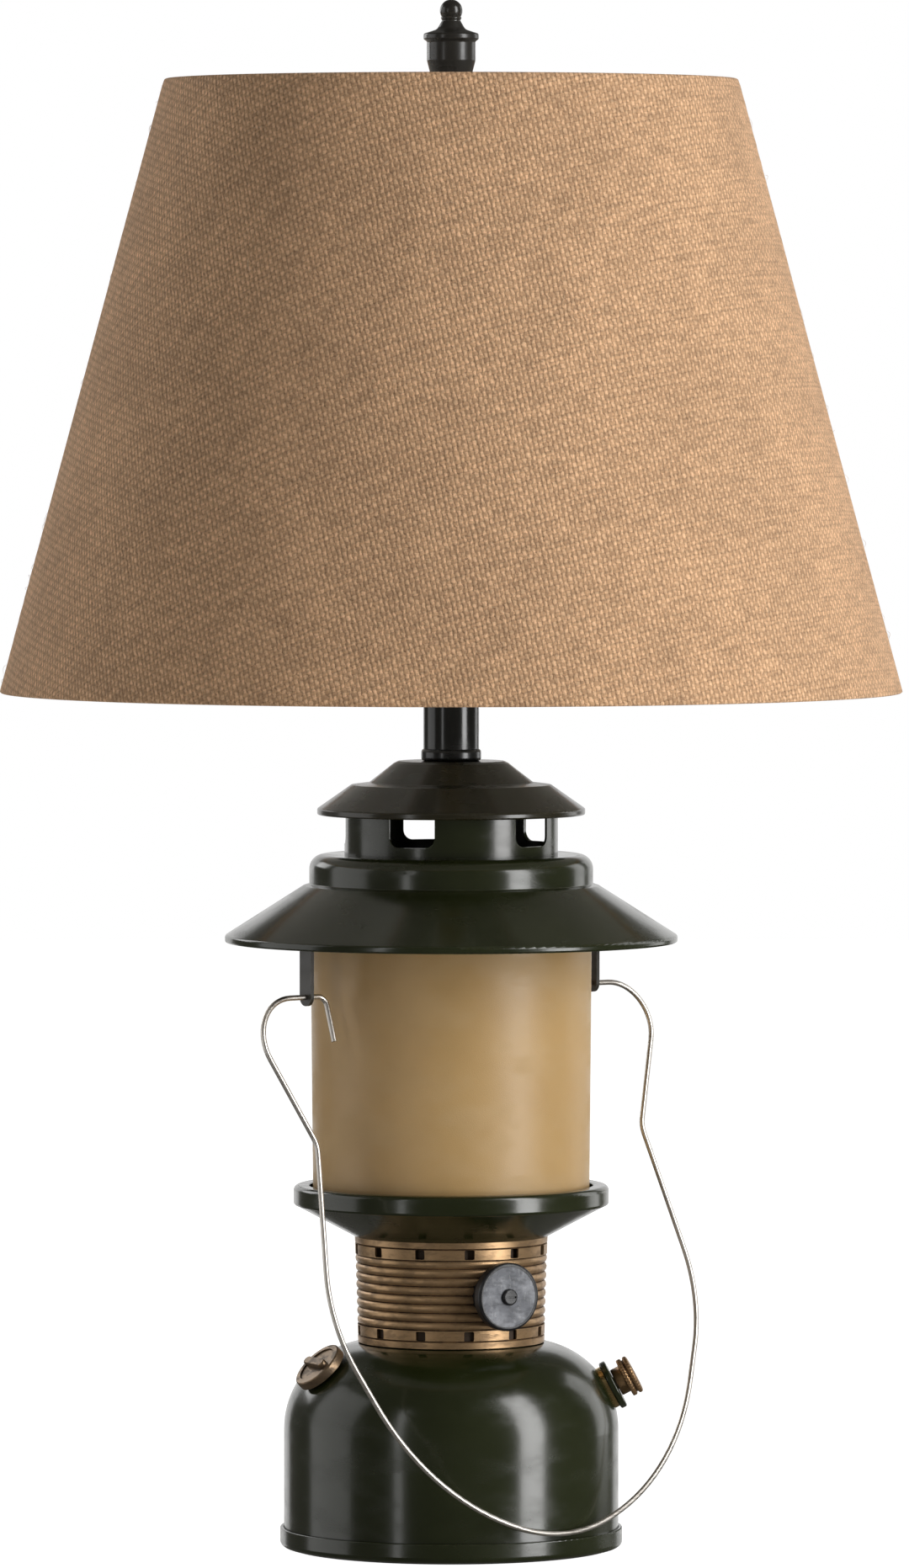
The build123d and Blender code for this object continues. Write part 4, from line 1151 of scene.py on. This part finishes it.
@dataclass
class Shade:
    """The cone shade: burlap turned round both rings, loose fibres, lining, rings and spider."""

    bottom_radius: float = 204.0 * MM
    top_radius: float = 129.6 * MM
    around: int = 720
    rows: int = 96
    lap_width: float = 13.0 * MM
    lap_rise: float = 0.7 * MM
    slub_rise: float = 0.22 * MM
    slub_count: int = 60
    turn_in: float = 9.0 * MM
    ring_wire: float = 1.5 * MM
    wall_depth: float = 1.9 * MM
    grain_turn: float = 12.2
    weft_skew: float = 6.5
    hair_count: int = 420
    hair_length: tuple[float, float] = (3.0 * MM, 11.0 * MM)
    hair_bow: float = 1.2
    hair_lift: tuple[float, float] = (0.3 * MM, 1.3 * MM)
    hair_radius: tuple[float, float] = (0.05 * MM, 0.09 * MM)
    hair_joints: int = 7
    hair_sides: int = 3
    seed: int = 11

    def build(self) -> None:
        """Dress the shade's nodes and make the cloth."""
        WARDROBE.dress(LINING, "shade_lining")
        WARDROBE.dress(WHITE_WIRE, "shade_top_ring", "shade_bottom_ring", "shade_spider")
        self.build_cover()
        self.build_hairs()

    def wall(self) -> tuple[float, float, float]:
        """Give the wall's bottom and top height and its half angle's sine."""
        low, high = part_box("shade_fabric")
        fall = self.bottom_radius - self.top_radius
        return low.z, high.z, fall / math.hypot(fall, high.z - low.z)

    def section(self) -> list[tuple[float, float, float]]:
        """Give the cloth's section as radius, height and length along the cloth from the lower edge.

        Returns:
            The points, from the free edge inside the bottom to the free edge inside the top.
        """
        bottom, top, sine = self.wall()
        cosine = math.sqrt(1 - sine * sine)
        ring, wall = self.ring_wire, self.wall_depth
        inner = ring + 0.25 * MM
        lower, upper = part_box("shade_bottom_ring"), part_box("shade_top_ring")
        low_radius, low_height = lower[1].x - ring, (lower[0].z + lower[1].z) / 2
        high_radius, high_height = upper[1].x - ring, (upper[0].z + upper[1].z) / 2

        def around_ring(radius: float, height: float, angles: tuple[int, ...]) -> list[tuple[float, float]]:
            """List the cloth's points where it bends round a ring.

            Args:
                radius: the ring's radius, to its wire's middle.
                height: the height of its wire's middle.
                angles: the points' angles round the wire, in degrees.

            Returns:
                The points.
            """
            turns = [math.radians(angle) for angle in angles]
            return [(radius + inner * math.cos(turn), height + inner * math.sin(turn)) for turn in turns]

        outline = [
            (low_radius - inner - sine * self.turn_in * share, low_height + cosine * self.turn_in * share)
            for share in (1.0, 0.75, 0.5, 0.25, 0.08)
        ]
        outline += around_ring(low_radius, low_height, (180, 205, 230, 255, 280, 305))
        outline += [
            (self.bottom_radius - wall, bottom - 0.1 * MM), (self.bottom_radius - 0.7 * MM, bottom),
            (self.bottom_radius - 0.15 * MM, bottom + 0.5 * MM),
        ]
        fall = self.top_radius - self.bottom_radius
        for row in range(1, self.rows):
            share = row / self.rows
            outline.append((self.bottom_radius + fall * share, bottom + (top - bottom) * share))
        outline += [
            (self.top_radius, top - 0.7 * MM), (self.top_radius - 0.35 * MM, top + 0.05 * MM),
            (self.top_radius - 1.0 * MM, top + 0.35 * MM), (self.top_radius - wall, top + 0.3 * MM),
        ]
        outline += around_ring(high_radius, high_height, (75, 105, 130, 155, 180))
        outline += [
            (high_radius - inner + sine * self.turn_in * share, high_height - cosine * self.turn_in * share)
            for share in (0.25, 0.5, 0.75, 1.0)
        ]
        lengths = [0.0]
        for before, after in zip(outline, outline[1:]):
            lengths.append(lengths[-1] + math.dist(before, after))
        return [(radius, height, length) for (radius, height), length in zip(outline, lengths)]

    def build_cover(self) -> None:
        """Make the burlap cover as one sheet with a lapped seam at the back."""
        bottom, top, sine = self.wall()
        section = self.section()
        corner = (self.bottom_radius, bottom)
        edge_length = min(section, key=lambda point: abs(point[0] - corner[0]) + abs(point[1] - corner[1]))[2]
        apex_distance = self.bottom_radius / sine
        lap = self.lap_width / self.bottom_radius
        around = self.around
        chance = random.Random(self.seed)
        slubs = [
            Slub(
                chance.uniform(-math.pi, math.pi), chance.uniform(0.15, 0.9), chance.uniform(0.002, 0.006),
                chance.uniform(0.3, 1.0),
            )
            for _ in range(self.slub_count)
        ]
        points, cloth = [], []
        for radius, height, length in section:
            wall_radius = self.top_radius + (top - height) * sine / math.sqrt(1 - sine * sine)
            outside = radius > wall_radius - 0.4 * MM
            share = (height - bottom) / (top - bottom)
            rho = apex_distance - (length - edge_length)
            for step in range(around + 1):
                turn = -math.pi - lap / 2 + (2 * math.pi + lap) * step / around
                raised = 0.0
                if outside:
                    over = max(0.0, turn - (math.pi - lap / 2)) / lap
                    proud = sum(slub.rise(turn, share) for slub in slubs)
                    raised = self.lap_rise * min(1.0, over * 6) + self.slub_rise * min(1.0, proud)
                reach = radius + raised
                points.append(Vector((reach * math.sin(turn), -reach * math.cos(turn), height)))
                flat_turn = turn * sine
                cloth.append((rho * math.sin(flat_turn), -rho * math.cos(flat_turn)))
        faces = grid_faces(len(section), around + 1, closed=False)
        cover = mesh_object("burlap_cover", points, faces)
        self.map_cloth(cover, cloth)
        WARDROBE.cover(BURLAP, cover)
        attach(cover, "shade")
        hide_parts("shade_fabric")

    def map_cloth(self, cover: bpy.types.Object, cloth: list[tuple[float, float]]) -> None:
        """Give the cover its cloth map: metres along weft and warp of the flat cut.

        Args:
            cover: the burlap cover.
            cloth: the flat cut's point for each vertex.
        """
        turn = math.radians(self.grain_turn)
        skew = math.tan(math.radians(self.weft_skew))
        layer = cover.data.uv_layers.new(name="cloth")
        values = []
        for loop in cover.data.loops:
            x, y = cloth[loop.vertex_index]
            weft = x * math.cos(turn) + y * math.sin(turn)
            warp = -x * math.sin(turn) + y * math.cos(turn)
            values += [weft, warp - skew * weft]
        layer.data.foreach_set("uv", values)

    def build_hairs(self) -> None:
        """Lay loose jute hairs on the cloth, each a thin bent tube that lifts a little."""
        bottom, top, sine = self.wall()
        chance = random.Random(self.seed + 1)
        points: list[Vector] = []
        faces: list[tuple[int, ...]] = []
        joints = self.hair_joints
        for _ in range(self.hair_count):
            azimuth = chance.uniform(0, 360)
            share = chance.uniform(0.02, 0.98)
            length = chance.uniform(*self.hair_length)
            bow = chance.uniform(-self.hair_bow, self.hair_bow)
            aim = chance.uniform(0, 2 * math.pi)
            lift = chance.uniform(*self.hair_lift)
            thick = chance.uniform(*self.hair_radius)
            radius = self.bottom_radius + (self.top_radius - self.bottom_radius) * share
            outward = heading(azimuth, math.degrees(math.asin(sine)))
            level = Vector((math.cos(math.radians(azimuth)), math.sin(math.radians(azimuth)), 0))
            up = outward.cross(level) * -1.0
            centre = heading(azimuth) * radius + Vector((0, 0, bottom + (top - bottom) * share))
            line = []
            spot_x = spot_y = 0.0
            for joint in range(joints):
                along = joint / (joints - 1)
                rise = lift * math.sin(math.pi * min(1.0, along * 1.1)) + 0.15 * MM
                line.append(centre + level * spot_x + up * spot_y + outward * rise)
                bearing = aim + bow * along
                spot_x += math.cos(bearing) * length / joints
                spot_y += math.sin(bearing) * length / joints
            self.add_tube(points, faces, line, thick)
        hairs = mesh_object("loose_jute_hairs", points, faces)
        WARDROBE.cover(LOOSE_JUTE, hairs)
        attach(hairs, "shade")
        log.info("loose_jute_hairs holds %d hairs", self.hair_count)

    def add_tube(self, points: list[Vector], faces: list[tuple[int, ...]], line: list[Vector],
                 thick: float) -> None:
        """Add a closed thin tube along a line.

        Args:
            points: the mesh's vertices so far.
            faces: the mesh's faces so far.
            line: the tube's middle line.
            thick: its radius in the middle; it tapers at both ends.
        """
        start, sides = len(points), self.hair_sides
        for index, spot in enumerate(line):
            ahead = line[min(index + 1, len(line) - 1)] - line[max(index - 1, 0)]
            across = ahead.orthogonal().normalized()
            other = ahead.cross(across).normalized()
            taper = thick * (0.35 + 0.65 * math.sin(math.pi * (index + 0.5) / len(line)))
            for side in range(sides):
                turn = 2 * math.pi * side / sides
                points.append(spot + (across * math.cos(turn) + other * math.sin(turn)) * taper)
        faces += [tuple(start + number for number in face) for face in grid_faces(len(line), sides)]
        last = start + (len(line) - 1) * sides
        faces.append(tuple(start + side for side in reversed(range(sides))))
        faces.append(tuple(last + side for side in range(sides)))


@dataclass
class Finial:
    """The dark finial that screws down on the spider."""

    def build(self) -> None:
        """Dress the finial."""
        WARDROBE.dress(FINIAL_DARK, "finial")


def main() -> None:
    """Build the studio and every sub-assembly in order."""
    for part in (
        Studio(), Base(), FillerAndPump(), Collar(), Lantern(), Neck(), HarpAndSocket(), Shade(), Finial()
    ):
        log.info("building %s", type(part).__name__)
        part.build()


if __name__ == "__main__":
    main()
